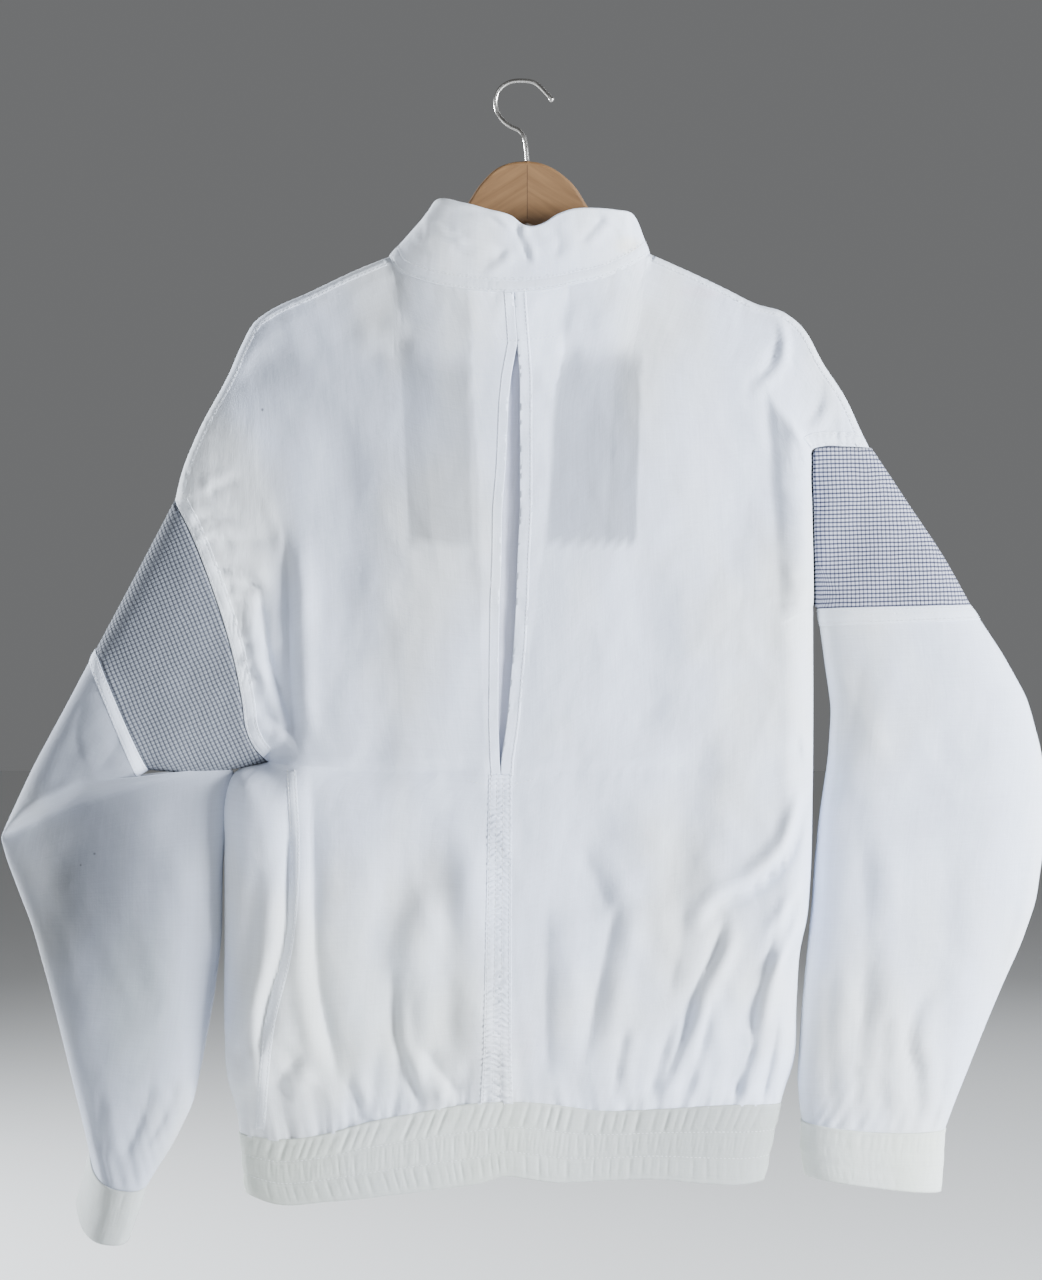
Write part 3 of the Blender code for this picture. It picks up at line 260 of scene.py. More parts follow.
RIGHT_SLEEVE_CREASES = (
    (4, 20, 1, ((342, 566), (308, 583), (272, 586), (244, 578))),
    (2, 14, 1, ((376, 522), (344, 536), (316, 536))),
    (3, 10, 1.5, ((268, 448), (262, 500), (252, 540), (246, 594))),
    (5, 9, 2.5, ((266, 584), (272, 645), (272, 700), (266, 806))),
    (2.5, 12, 1, ((334, 600), (333, 690), (326, 774))),
    (4.5, 6, 2.4, ((326, 716), (310, 742), (306, 768), (312, 790), (312, 832))),
    (3, 10, 1.5, ((406, 590), (384, 690), (356, 784))),
    (2.5, 6, 1.5, ((246, 694), (242, 760), (248, 832))),
    (2.5, 6, 1.5, ((288, 730), (284, 790), (286, 832))),
    (1.5, 8, 1, ((232, 610), (232, 700), (228, 790))),
    (2.5, 5, 1.5, ((336, 774), (330, 806), (326, 838))),
    (2, 4, 1, ((262, 776), (264, 806), (262, 832))),
)
LEFT_SLEEVE_CREASES = (
    (2.4, 12, 1.2, ((-362, 588), (-372, 650), (-373, 705), (-358, 770))),
    (2, 16, 1, ((-298, 586), (-306, 680), (-314, 776))),
    (4, 6, 2, ((-292, 792), (-300, 820), (-316, 856))),
    (4, 6, 2, ((-272, 790), (-284, 822), (-300, 850))),
    (3, 5, 1.5, ((-334, 800), (-334, 830), (-330, 858))),
    (2, 8, 1, ((-344, 484), (-354, 520), (-346, 548))),
    (2, 6, -1, ((-318, 496), (-322, 526), (-338, 552))),
    (4, 5, 2, ((-396, 590), (-372, 580), (-342, 562))),
)
FAR_SLEEVE_CREASES = (
    (6, 12, 2, ((300, 560), (290, 640), (296, 730))),
    (5, 10, 2, ((352, 540), (330, 620), (320, 700))),
    (4, 6, 2, ((270, 760), (266, 800), (272, 830))),
    (4, 6, 2, ((316, 760), (310, 800), (314, 832))),
    (5, 12, 2, ((-320, 620), (-312, 700), (-306, 770))),
    (4, 6, 2, ((-300, 800), (-312, 826), (-322, 854))),
)

COLLAR_CREASES = (
    (1.2, 2, 1.0, ((-73, 103), (-46, 107.5), (-24, 113), (-10, 124))),
    (1.8, 2.6, 1.2, ((-3, 112), (-4, 124), (2, 138), (6, 152))),
    (1.0, 2.4, 0.8, ((-84, 106), (-80, 120), (-82, 136))),
    (1.1, 2.2, -0.8, ((-71, 114), (-56, 122), (-42, 130))),
    (1.0, 3.5, 0.8, ((-12, 134), (-22, 146), (-36, 154))),
    (1.1, 3.5, 0.8, ((66, 108), (54, 122), (44, 134))),
    (1.3, 3, -0.8, ((84, 106), (88, 122), (84, 138))),
    (0.8, 5, 0.5, ((20, 116), (28, 132), (24, 148))),
    (0.9, 3.5, 0.6, ((-62, 132), (-40, 142), (-18, 145))),
    (0.8, 2.4, 0.6, ((56, 112), (70, 120), (78, 130))),
    (0.7, 2.2, 0.5, ((-92, 122), (-84, 134), (-70, 144))),
)

# Edges of the back's doubled cloth beside the slit, as drops and their x
DOUBLED_LEFT = ((170, 254, 318, 470, 554), (-44, -41, -36, -34, -31))
DOUBLED_RIGHT = ((166, 222, 254, 334, 382, 470, 554), (36, 32, 24, 20, 15, 4, -6))

# The back's painted shade where the layers behind show through its thin cloth: left and right x, slant, top
# and foot drop, and how dark; and soft ovals of painted shade, and of painted light where how dark is
# negative: middle x and drop, half width and half height, and how dark
SHOW_THROUGH_SHADE_PATCHES = ((-99, -43, 8, 212, 372, 0.27), (27, 95, -10, 208, 372, 0.37))
SHADE_AND_LIGHT_OVALS = (
    (-60, 290, 100, 130, 0.14),
    (60, 290, 80, 110, 0.06),
    (-150, 228, 72, 62, 0.28),
    (-120, 420, 60, 120, 0.05),
    (-190, 320, 26, 90, 0.15),
    (175, 290, 60, 90, -0.12),
    (150, 215, 60, 40, 0.05),
    (-220, 250, 40, 80, 0.03),
)

# Painted shade on the left lower sleeve: how dark it is all over, and one darker oval as in
# SHADE_AND_LIGHT_OVALS
SLEEVE_SHADE = 0.27
SLEEVE_SHADE_OVAL = (-338, 625, 66, 150)
SLEEVE_SHADE_DEEP = 0.54

# Painted shade on the left cuff and painted light on the right one, as tones of their colour
CUFF_LIGHT_AND_SHADE = {"left": 0.8, "right": 1.15}
COLLAR_TONE = 1.16

# Gathers round the waistband and round a cuff, and the shares of a band's height that are stitched
WAIST_PITCH = 9.5
CUFF_PITCH = 7.5
CHANNEL_LINES = (0.34, 0.67)

# The sizes of the mesh's cells along and round a sleeve
MESH_PITCH_ALONG = 3.35
MESH_PITCH_ROUND = 3.2

# How far a stitch stands off its cloth, and where a felled strip's two rows lie across it
STITCH_LIFT = 0.35
STITCH_ROWS = (0.16, 0.84)


def lengths_along(line):
    """How far along a line each of its points lies."""
    return np.concatenate([[0], np.cumsum(np.linalg.norm(np.diff(line, axis=0), axis=1))])


def curve_through(points, fractions):
    """Points of a smooth curve through the given ones, at fractions of its length."""
    given = np.array(points, float)
    chord = lengths_along(given)
    slope = np.gradient(given, chord, axis=0)
    at = np.clip(np.asarray(fractions, float), 0, 1) * chord[-1]
    span = np.clip(np.searchsorted(chord, at, side="right") - 1, 0, len(given) - 2)
    length = (chord[span + 1] - chord[span])[:, None]
    t = (at - chord[span])[:, None] / length
    return (
        (2 * t**3 - 3 * t**2 + 1) * given[span]
        + (t**3 - 2 * t**2 + t) * length * slope[span]
        + (3 * t**2 - 2 * t**3) * given[span + 1]
        + (t**3 - t**2) * length * slope[span + 1]
    )


def on_curve_at(points, xs):
    """Points of the smooth curve through the given ones where it crosses each x."""
    fine = curve_through(points, np.linspace(0, 1, 801))
    return np.stack([np.asarray(xs, float), np.interp(xs, fine[:, 0], fine[:, 1])], axis=1)


def along_line(points, line):
    """Each point's distance to a line, the share along it, and the distance to its right."""
    flat = np.asarray(points, float).reshape(-1, 1, 2)
    start = np.array(line[:-1], float)
    along = np.array(line[1:], float) - start
    length = np.linalg.norm(along, axis=1)
    share = np.clip(((flat - start) * along).sum(2) / length**2, 0, 1)
    nearest = start + share[..., None] * along
    gap = flat - nearest
    distance = np.linalg.norm(gap, axis=2)
    best = distance.argmin(1)
    rows = np.arange(len(best))
    passed = np.concatenate([[0], np.cumsum(length)])
    at = (passed[best] + share[rows, best] * length[best]) / passed[-1]
    right = gap[rows, best, 0] * along[best, 1] - gap[rows, best, 1] * along[best, 0]
    shape = np.shape(points)[:-1]
    return distance[rows, best].reshape(shape), at.reshape(shape), np.sign(right).reshape(shape)


def distance_to_curve(points, given, share=1.0):
    """The distance of each point from the smooth curve through the given ones, or its first share."""
    return along_line(points, curve_through(given, np.linspace(0, share, 49)))[0]


def rounded(distance, reach):
    """From 0 at a folded edge to 1 at reach from it, as a quarter circle."""
    share = np.clip(np.asarray(distance) / reach, 0, 1)
    return np.sqrt(1 - (1 - share) ** 2)


def oval(share):
    """The depth of a flattened tube across its width, from 0 at its folds to 1."""
    return (1 - np.abs(2 * np.asarray(share, float) - 1) ** OVAL_POWER) ** (1 / OVAL_POWER)


def level(share):
    """A step from 0 to 1 that is level at both ends."""
    t = np.clip(np.asarray(share, float), 0, 1)
    return t * t * (3 - 2 * t)


def falloff(share, reach):
    """From 1 at an edge to 0 at reach from it, level at both ends."""
    return level(1 - np.asarray(share, float) / reach)


def refined(values, per):
    """The values with per steps between each pair."""
    count = (len(values) - 1) * per + 1
    return np.interp(np.linspace(0, len(values) - 1, count), np.arange(len(values)), values)


def kept_apart(depth, lift):
    """A depth with a lift added, where a trough comes no nearer to the middle plane than it may."""
    limit = 0.58 * depth + 0.3
    return depth + np.where(lift < 0, -limit * np.tanh(-lift / limit), lift)


def crease_shade(points, table):
    """How much darker the cloth is coloured in its troughs, as painted shade, and lighter on its ridges, as
    painted highlight.
    """
    lift = crease_lift(points, table) / FOLD_STRENGTH
    shade = np.where(lift < 0, SHADE_DEPTH * np.tanh(lift / SHADE_DEPTH), np.minimum(lift, 2))
    return CREASE_SHADE * shade


def crease_lift(points, table):
    """How far each point stands out for a table of creases, each dying out at its ends."""
    lift = np.zeros(np.shape(points)[:-1])
    for depth, half_width, ridge, line in table:
        smooth = curve_through(line, np.linspace(0, 1, 17))
        distance, at, right = along_line(points, smooth)
        ends = level(at * 4) * level((1 - at) * 4)
        side = distance * right * (np.sign(ridge) if ridge else 1.0)
        steep = 0.55 if half_width < 11 else 1.0
        near = np.abs(side) / np.where(side > 0, half_width * steep, half_width * 1.3)
        trough = np.exp(-(near ** (1.12 if half_width < 11 else 2.0)))
        bank = np.exp(-(((side - 1.9 * half_width) / (1.25 * half_width)) ** 2))
        uneven = 0.8 + 0.35 * np.sin(9 * at + 2.1 * depth) * np.sin(4.3 * at + half_width)
        lift += FOLD_STRENGTH * ends * uneven * (abs(ridge) * bank - depth * trough)
    return lift


def seam_ripples(points, edge, pitch, height, reach, seed):
    """The small uneven ripples that a row of sewing draws up beside an edge."""
    smooth = curve_through(edge, np.linspace(0, 1, 49))
    length = np.linalg.norm(np.diff(smooth, axis=0), axis=1).sum()
    distance, at, _ = along_line(points, smooth)
    step = at * length / pitch
    step = step + 0.4 * np.sin(1.9 * step + seed) + 0.02 * distance * np.sin(0.7 * step)
    size = 0.55 + 0.45 * np.sin(0.9 * step + 2 * seed) * np.sin(0.37 * step)
    return height * size * np.sin(2 * math.pi * step) * np.exp(-distance / reach)


def scatter(number, seed, other=0):
    """A fixed uneven value between 0 and 1 for each whole number, or each pair of them."""
    mixed_up = np.sin(number * 127.1 + other * 311.7 + seed * 74.7) * 43758.5453
    return mixed_up - np.floor(mixed_up)


def soft_noise(points, across, down, seed):
    """Smooth uneven ground between -1 and 1, with humps of a size across and down."""
    place = np.asarray(points, float) / np.array((across, down))
    cell = np.floor(place)
    t = place - cell
    t = t * t * (3 - 2 * t)
    rows = []
    for below in (0, 1):
        left, right = (scatter(cell[..., 0] + beside, seed, cell[..., 1] + below) for beside in (0, 1))
        rows.append((left * 2 - 1) * (1 - t[..., 0]) + (right * 2 - 1) * t[..., 0])
    return rows[0] * (1 - t[..., 1]) + rows[1] * t[..., 1]


def soft_oval(flat, x, drop, wide, high):
    """From 1 in the middle of an oval, softly down to 0 outside it."""
    return np.exp(-(((flat[..., 0] - x) / wide) ** 2 + ((flat[..., 1] - drop) / high) ** 2))


def crumple(points, seed):
    """The slight unevenness of worn cotton, in millimetres."""
    x, drop = points[..., 0], points[..., 1]
    turned = np.stack([x + 0.35 * drop, drop - 0.35 * x], axis=-1)
    other = np.stack([x - 0.5 * drop, drop + 0.5 * x], axis=-1)
    return CRUMPLE_STRENGTH * (
        1.3 * soft_noise(points, 56, 120, seed)
        + 0.45 * soft_noise(turned, 23, 52, seed + 3)
        + 0.4 * (1 - 2 * np.abs(soft_noise(other, 30, 62, seed + 7)))
        + 0.2 * soft_noise(turned, 9, 17, seed + 5)
    )


def gathers(place, pitch, groove, seed):
    """Soft pillows between uneven grooves along a place in millimetres, about -1 in the deepest groove."""
    step = place / pitch + 0.35 * np.sin(place / (2.7 * pitch) + seed) + 0.25 * np.sin(place / (0.83 * pitch))
    nearest = np.round(step)
    gap = (step - nearest) * pitch
    deep = 0.25 + 0.75 * scatter(nearest, seed)
    wide = groove * (0.8 + 0.5 * scatter(nearest, seed + 1))
    return 0.25 - deep * np.exp(-((gap / wide) ** 2)) + 0.2 * scatter(np.floor(step), seed + 2)


def between_edges(bottom, top, inner, outer, across, up):
    """A grid of points between four edges that meet at their ends."""
    u = np.array(across, float)[None, :, None]
    v = np.array(up, float)[:, None, None]
    edges = (1 - v) * bottom[None] + v * top[None] + (1 - u) * inner[:, None] + u * outer[:, None]
    corners = (
        (1 - u) * (1 - v) * bottom[0]
        + u * (1 - v) * bottom[-1]
        + (1 - u) * v * top[0]
        + u * v * top[-1]
    )
    return edges - corners


def to_world(points):
    """World metres of an array of x, depth and drop in millimetres."""
    world = np.array(points, float) * MM
    world[..., 2] *= -1
    return world


def in_scene(name, data):
    """An object of some data, in the scene."""
    made = bpy.data.objects.new(name, data)
    bpy.context.scene.collection.objects.link(made)
    return made


def grid_faces(rows, columns, closed):
    """The corners of each face of a grid as rows, as columns and as places in the list of its points.

    A closed grid has one more column of faces, whose last corners wrap round to the first column.
    """
    last = columns if closed else columns - 1
    r, c = np.meshgrid(np.arange(rows - 1), np.arange(last), indexing="ij")
    r, c = r.ravel(), c.ravel()
    corner_rows = np.stack([r, r, r + 1, r + 1], axis=1)
    corner_columns = np.stack([c, c + 1, c + 1, c], axis=1)
    return corner_rows, corner_columns, corner_rows * columns + corner_columns % columns


def cloth_piece(name, grid, finish, stands_for=None, thickness=THIN, closed=False, tone=None,
                chart=None):
    """A piece of cloth from rows of x, depth and drop, with a thin wall, a chart and a tone."""
    corner_rows, corner_columns, faces = grid_faces(*grid.shape[:2], closed)
    mesh = bpy.data.meshes.new(name)
    mesh.from_pydata(to_world(grid).reshape(-1, 3).tolist(), [], faces.tolist())
    if chart is None:
        chart = arc_chart(grid, closed)
    uv = chart[corner_rows, corner_columns].reshape(-1, 2) * MM
    mesh.uv_layers.new(name="cloth").data.foreach_set("uv", uv.ravel())
    shade = mesh.attributes.new("tone", "FLOAT", "POINT")
    shade.data.foreach_set("value", (np.ones(grid.shape[:2]) if tone is None else tone).ravel())
    mesh.materials.append(finish)
    mesh.shade_smooth()
    piece = in_scene(name, mesh)
    wall = piece.modifiers.new("wall", "SOLIDIFY")
    wall.thickness = thickness * MM
    wall.offset = 0
    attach(piece, "root")
    if stands_for:
        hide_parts(stands_for)
    return piece


def arc_chart(grid, closed):
    """Lengths across and down a grid of cloth, in millimetres, as its flat chart."""
    ring = np.concatenate([grid, grid[:, :1]], axis=1) if closed else grid
    across = np.linalg.norm(np.diff(ring, axis=1), axis=2)
    across = np.concatenate([np.zeros((len(ring), 1)), np.cumsum(across, axis=1)], axis=1)
    middle = across[:, across.shape[1] // 2][:, None]
    down = np.linalg.norm(np.diff(ring, axis=0), axis=2).mean(1)
    down = np.concatenate([[0], np.cumsum(down)])[:, None]
    return np.dstack([across - middle, np.broadcast_to(down, across.shape)])


def outward(grid, towards):
    """Unit normals of a grid of x, depth and drop, turned to the side that towards points at."""
    rows = np.gradient(grid, axis=0)
    columns = np.gradient(grid, axis=1)
    normal = np.cross(rows, columns)
    normal = normal / np.maximum(np.linalg.norm(normal, axis=2, keepdims=True), 1e-9)
    turned = np.sign((normal * np.asarray(towards, float)).sum(2, keepdims=True))
    return normal * np.where(turned == 0, 1, turned)


def body_depth(points):
    """The half depth of the body's cloth, before its edges are fitted to their neighbours."""
    down = np.minimum(distance_to_curve(points, SHOULDER_LEFT), distance_to_curve(points, SHOULDER_RIGHT))
    grown = SHOULDER_DEPTH * rounded(down, SHOULDER_ROUND)
    grown = grown + (CHEST_DEPTH - SHOULDER_DEPTH) * (1 - np.exp(-down / CHEST_REACH))
    left_fold = rounded(distance_to_curve(points, SIDE_LEFT), SIDE_ROUND)
    right_edge = np.minimum(
        distance_to_curve(points, SIDE_RIGHT), distance_to_curve(points, ARMHOLE_RIGHT, ARMHOLE_CORNER)
    )
    return grown * left_fold * rounded(right_edge, SIDE_ROUND_RIGHT)


def eased(values, places, reach):
    """Values along a row of uneven places, smoothed over a reach in millimetres."""
    weight = np.exp(-0.5 * ((places[:, None] - places) / reach) ** 2) * np.gradient(places)
    return weight @ values / weight.sum(axis=1)


def slit_edge(side, drops):
    """The flat places of the slit's left or right edge at given drops."""
    table = np.array(SLIT, float)
    return np.stack([np.interp(drops, table[:, 0], table[:, 1 if side == "left" else 2]), drops], axis=1)


def panel_flat(side, face, u, lower, upper, per_across):
    """The flat places of half of the back or of the front, between its seams."""
    end = 0 if side == "left" else -1
    shoulder, sides, armhole = PANEL_EDGES[side]
    if face == "back":
        neck, neck_middle, inset, waist_start = NECK_BACK, SLIT[0][1], -0.05, WAIST_CENTRE[0]
        inner_high = slit_edge(side, SLIT[-1][0] + (SLIT[0][0] - SLIT[-1][0]) * upper)
    else:
        neck, neck_middle, inset, waist_start = NECK_FRONT, FRONT_CENTRE, FRONT_EDGE, FRONT_CENTRE
        drops = FRONT_SPLIT_DROP + (NECK_FRONT_DROP - FRONT_SPLIT_DROP) * upper
        inner_high = np.stack([np.full(len(drops), float(FRONT_CENTRE)), drops], axis=1)
    shift = np.array((-inset if side == "left" else inset, 0.0))
    neck_x = neck_middle + (neck[end][0] - neck_middle) * refined(NECK_SHARES, per_across)
    shoulder_edge = curve_through(shoulder, refined(SHOULDER_SHARES, per_across))
    top = np.vstack([on_curve_at(neck, neck_x), shoulder_edge[1:]])
    top = top + shift * np.maximum(0, 1 - u / u[NECK_CORNER * per_across])[:, None]
    bottom = on_curve_at(WAIST_SEAM, waist_start + (WAIST_SEAM[end][0] - waist_start) * u)
    bottom = bottom + shift * (1 - u[:, None])
    inner_high = inner_high + shift
    outer_high = curve_through(armhole, upper)
    middle = inner_high[0] + (outer_high[0] - inner_high[0]) * u[:, None]
    high = between_edges(middle, top, inner_high, outer_high, u, upper)
    inner_low = bottom[0] + (inner_high[0] - bottom[0]) * lower[:, None]
    low = between_edges(bottom, middle, inner_low, curve_through(sides, lower), u, lower)[:-1]
    return np.concatenate([low, high])


def panel_depth(side, neck, flat, u, lower, upper, per_across):
    """The half depth of a panel, fitted to its armhole, its waist and its neck."""
    corner = NECK_CORNER * per_across
    rows = len(lower) - 1
    depth = body_depth(flat)
    armhole_reach, armhole_share = (0.45, 1) if side == "left" else (0.12, 0.6)
    fitted = ARMHOLE_DEPTH * oval(1 - upper) * armhole_share
    depth[rows:] += (fitted - depth[rows:, -1])[:, None] * falloff(1 - u, armhole_reach)[None]
    waist_share = (flat[0, :, 0] - WAIST_SEAM[0][0]) / (WAIST_SEAM[-1][0] - WAIST_SEAM[0][0])
    waist_fit = WAIST_DEPTH * oval(np.clip(waist_share, 0, 1))
    rise = np.concatenate([lower[:-1], 1 + upper])
    depth += (waist_fit - depth[0])[None] * falloff(rise, EDGE_FIT)[:, None]
    neck_share = np.clip((flat[-1, :, 0] - neck[0][0]) / (neck[-1][0] - neck[0][0]), 0, 1)
    neck_fit = NECK_DEPTH * oval(neck_share)
    rise_to_neck = np.concatenate([2 - lower[:-1], 1 - upper])
    raised = np.where(np.arange(len(u)) <= corner, neck_fit - depth[-1], 0)
    softer = (eased(raised, lengths_along(flat[-1]), NECK_SOFT_REACH) - raised) * level(u / u[corner])
    raised = raised[None] + softer[None] * level(rise_to_neck / NECK_SOFT_START)[:, None]
    depth += raised * falloff(rise_to_neck, EDGE_FIT)[:, None]
    from_corner = np.linalg.norm(flat - flat[-1, corner], axis=2)
    steepness = neck_fit[corner - per_across] / from_corner[-1, corner - per_across]
    return np.minimum(depth, FOLD_GAP + steepness * CORNER_STEEPNESS * from_corner)


def body_grid(side, face, per_across, per_lower, per_upper):
    """Rows of x, depth and drop for half of the back or of the front, with all its folds."""
    back = face == "back"
    shoulder, sides, armhole = PANEL_EDGES[side]
    neck, table, seed = (NECK_BACK, BACK_CREASES, 1) if back else (NECK_FRONT, FRONT_CREASES, 11)
    u = refined(ACROSS, per_across)
    lower, upper = refined(UP_LOWER, per_lower), refined(UP_UPPER, per_upper)
    flat = panel_flat(side, face, u, lower, upper, per_across)
    depth = panel_depth(side, neck, flat, u, lower, upper, per_across)

    calm = np.ones(flat.shape[:2])
    for edge, reach in ((shoulder, 18), (sides, 16), (armhole, 10), (neck, 12), (WAIST_SEAM, 5)):
        calm = calm * level(distance_to_curve(flat, edge) / reach)
    if not back:
        calm = calm * level((np.abs(flat[..., 0] - FRONT_CENTRE) - 6) / 14)
    room = np.minimum(1, depth / 14)
    depth = kept_apart(depth, (crease_lift(flat, table) + crumple(flat, seed)) * calm * room)
    for edge, pitch, height, reach in ((armhole, 12, 1.7, 20), (neck, 9, 0.7, 9), (shoulder, 13, 0.9, 14)):
        closed = level(distance_to_curve(flat, edge) / 7) if edge is armhole else 1
        depth = depth + seam_ripples(flat, edge, pitch, height, reach, seed) * room * closed
    from_waist = distance_to_curve(flat, WAIST_SEAM)
    depth = depth + waist_ruffle(flat, from_waist, face) * room * level(distance_to_curve(flat, sides) / 8)
    if back:
        depth = depth + seam_pucker(flat)
        lip = [(row[1 if side == "left" else 2], row[0]) for row in SLIT[1:]]
        open_part = level((flat[..., 1] - 214) / 14) * level((548 - flat[..., 1]) / 14)
        depth = depth + seam_ripples(flat, lip, 8, 0.45, 9, seed) * open_part
    depth = np.maximum(depth, FOLD_GAP)
    depth[:len(lower) - 1, -1] = FOLD_GAP
    depth[-1, NECK_CORNER * per_across:] = FOLD_GAP
    return np.dstack([flat[..., 0], -depth if back else depth, flat[..., 1]])


def waist_ruffle(flat, from_waist, face):
    """The small gathers that run up into the body's cloth from the waistband."""
    reach = 34 + 26 * soft_noise(flat * np.array((1, 0)), 21, 1, 4 if face == "back" else 9)
    place = flat[..., 0] + 0.22 * from_waist * np.sin(flat[..., 0] / 37 + 0.6)
    wide = gathers(place, 23, 5.5, 3)
    fine = gathers(place, WAIST_PITCH, 2.0, 1)
    near = np.exp(-from_waist / 13)
    return 2.0 * fine * near + 4.2 * wide * np.exp(-from_waist / np.maximum(reach, 10)) * (1 - 0.6 * near)


def seam_pucker(flat):
    """The short ripples across the topstitched centre seam, stronger towards the hem."""
    x, drop = flat[..., 0], flat[..., 1]
    middle = np.interp(drop, (553, 811), (-18, -21))
    half = np.interp(drop, (553, 811), (10, 14))
    inside = falloff(np.abs(x - middle) / half, 1.25) * level((drop - 556) / 30) * level((812 - drop) / 6)
    wave = np.sin(2 * math.pi * (drop + 2.2 * np.sin(x / 6) + 3 * np.sin(drop / 23)) / 7.4)
    size = 0.35 + 0.65 * level((drop - 560) / 240)
    uneven = 0.6 + 0.4 * np.sin(drop / 9.7) * np.sin(drop / 31)
    return 0.85 * inside * wave * size * uneven


def body_tone(grid):
    """How light the back's cloth is: brighter where it is doubled, with painted shade in its creases and over
    what shows through from behind, and painted shade and light in soft ovals.
    """
    flat = grid[..., [0, 2]]
    x, drop = flat[..., 0], flat[..., 1]
    tone = 1 + 0.035 * soft_noise(flat, 60, 170, 21) + 0.015 * soft_noise(flat, 5, 110, 22)
    tone = tone + crease_shade(flat, BACK_CREASES)
    left, right = np.interp(drop, *DOUBLED_LEFT), np.interp(drop, *DOUBLED_RIGHT)
    doubled = level((x - left) / 1.6) * level((right - x) / 1.6) * level((566 - drop) / 5)
    tone = tone + (0.14 + 0.16 * level((245 - drop) / 60)) * doubled
    # Painted shade where the layers behind show through, then soft ovals of painted shade, and of painted
    # light where dark is negative
    for x0, x1, slant, top, foot, dark in SHOW_THROUGH_SHADE_PATCHES:
        lean = slant * (drop - top) / (foot - top)
        inside = level((x - x0 - lean) / 3) * level((x1 + lean * 0.5 - x) / 3)
        inside = inside * level((drop - top) / 26) * level((foot - drop) / 5)
        inner = level((x - x0 - lean - 46) / 2.5)
        if slant > 0:
            inner = 1.4 * level((x0 + lean + 20 - x) / 2.5) * level((drop - 280) / 60)
        tone = tone - dark * inside * (1 - doubled) * (0.85 + 0.3 * inner)
    for *place, dark in SHADE_AND_LIGHT_OVALS:
        tone = tone - dark * soft_oval(flat, *place) * (1 - doubled)
    for edge, width in ((SHOULDER_LEFT, 9), (SHOULDER_RIGHT, 8)):
        near = distance_to_curve(flat, edge)
        tone = tone + 0.05 * level((width - near) / 1.2)
    return tone


# Finishes
SPECKLE = 0.08


def finish_tree(name, **constants):
    """A new material with constants on its shader, and its node tree."""
    made = bpy.data.materials.new(name)
    made.use_nodes = True
    for label, value in constants.items():
        made.node_tree.nodes["Principled BSDF"].inputs[label.replace("_", " ")].default_value = value
    return made, made.node_tree


def coloured(made, colour, normal, roughness=None):
    """The material with its colour, its normal and maybe its roughness linked to its shader."""
    shader = made.node_tree.nodes["Principled BSDF"]
    for label, socket in (("Base Color", colour), ("Normal", normal), ("Roughness", roughness)):
        if socket is not None:
            made.node_tree.links.new(socket, shader.inputs[label])
    return made


def node(tree, kind, **settings):
    """A node with its properties set, and its inputs where the name is one of theirs."""
    made = tree.nodes.new(kind)
    for key, value in settings.items():
        label = key.replace("_", " ")
        if label in made.inputs:
            made.inputs[label].default_value = value
        else:
            setattr(made, key, value)
    return made


def fill(tree, sockets, values):
    """Sockets linked to others, or set where a value is a number, a vector or a colour."""
    for socket, value in zip(sockets, values):
        if hasattr(value, "is_output"):
            tree.links.new(value, socket)
        else:
            socket.default_value = value


def maths(tree, operation, *values):
    """A maths node between sockets or numbers."""
    made = node(tree, "ShaderNodeMath", operation=operation)
    fill(tree, made.inputs, values)
    return made.outputs[0]


def vector_maths(tree, operation, *values):
    """A vector maths node between sockets or vectors."""
    made = node(tree, "ShaderNodeVectorMath", operation=operation)
    fill(tree, made.inputs, values)
    return made.outputs["Value" if operation == "LENGTH" else "Vector"]


def mixed(tree, share, first, second, blend="MIX"):
    """A mix of two colours, each a socket or a tuple."""
    made = node(tree, "ShaderNodeMix", data_type="RGBA", blend_type=blend)
    colours = [(*value, 1) if isinstance(value, tuple) else value for value in (first, second)]
    fill(tree, (made.inputs[0], made.inputs[6], made.inputs[7]), (share, *colours))
    return made.outputs[2]


def times_tone(tree, colour, tone):
    """A colour times a tone, which is a socket or three numbers."""
    if not isinstance(tone, tuple):
        grey = node(tree, "ShaderNodeCombineColor")
        fill(tree, grey.inputs, (tone, tone, tone))
        tone = grey.outputs[0]
    return mixed(tree, 1.0, colour, tone, "MULTIPLY")


def noise(tree, vector, factors=(1, 1, 1), **settings):
    """Noise over a vector times three factors."""
    made = node(tree, "ShaderNodeTexNoise", **{"Scale": 1.0, **settings})
    stretched = vector if factors == (1, 1, 1) else vector_maths(tree, "MULTIPLY", vector, factors)
    tree.links.new(stretched, made.inputs["Vector"])
    return made.outputs[0]


def ranged(tree, value, low, high, shape="SMOOTHSTEP"):
    """How far a value is on its way from low to high."""
    made = node(tree, "ShaderNodeMapRange", interpolation_type=shape, From_Min=low, From_Max=high)
    tree.links.new(value, made.inputs["Value"])
    return made.outputs[0]


def bump(tree, height, strength, distance, under=None):
    """The normal of a bumped surface, laid over an earlier bump where there is one."""
    made = node(tree, "ShaderNodeBump", Strength=strength, Distance=distance)
    tree.links.new(height, made.inputs["Height"])
    if under is not None:
        tree.links.new(under, made.inputs["Normal"])
    return made.outputs[0]


def plain_weave(tree, chart, thread):
    """The height of a plain weave of threads of a pitch in metres, from 0 to 1."""
    split = node(tree, "ShaderNodeSeparateXYZ")
    turns = vector_maths(tree, "MULTIPLY", chart, (math.pi / thread, math.pi / thread, 1))
    tree.links.new(turns, split.inputs[0])
    warp, weft = (maths(tree, "ABSOLUTE", maths(tree, "SINE", split.outputs[k])) for k in (0, 1))
    return maths(tree, "MULTIPLY", warp, weft)


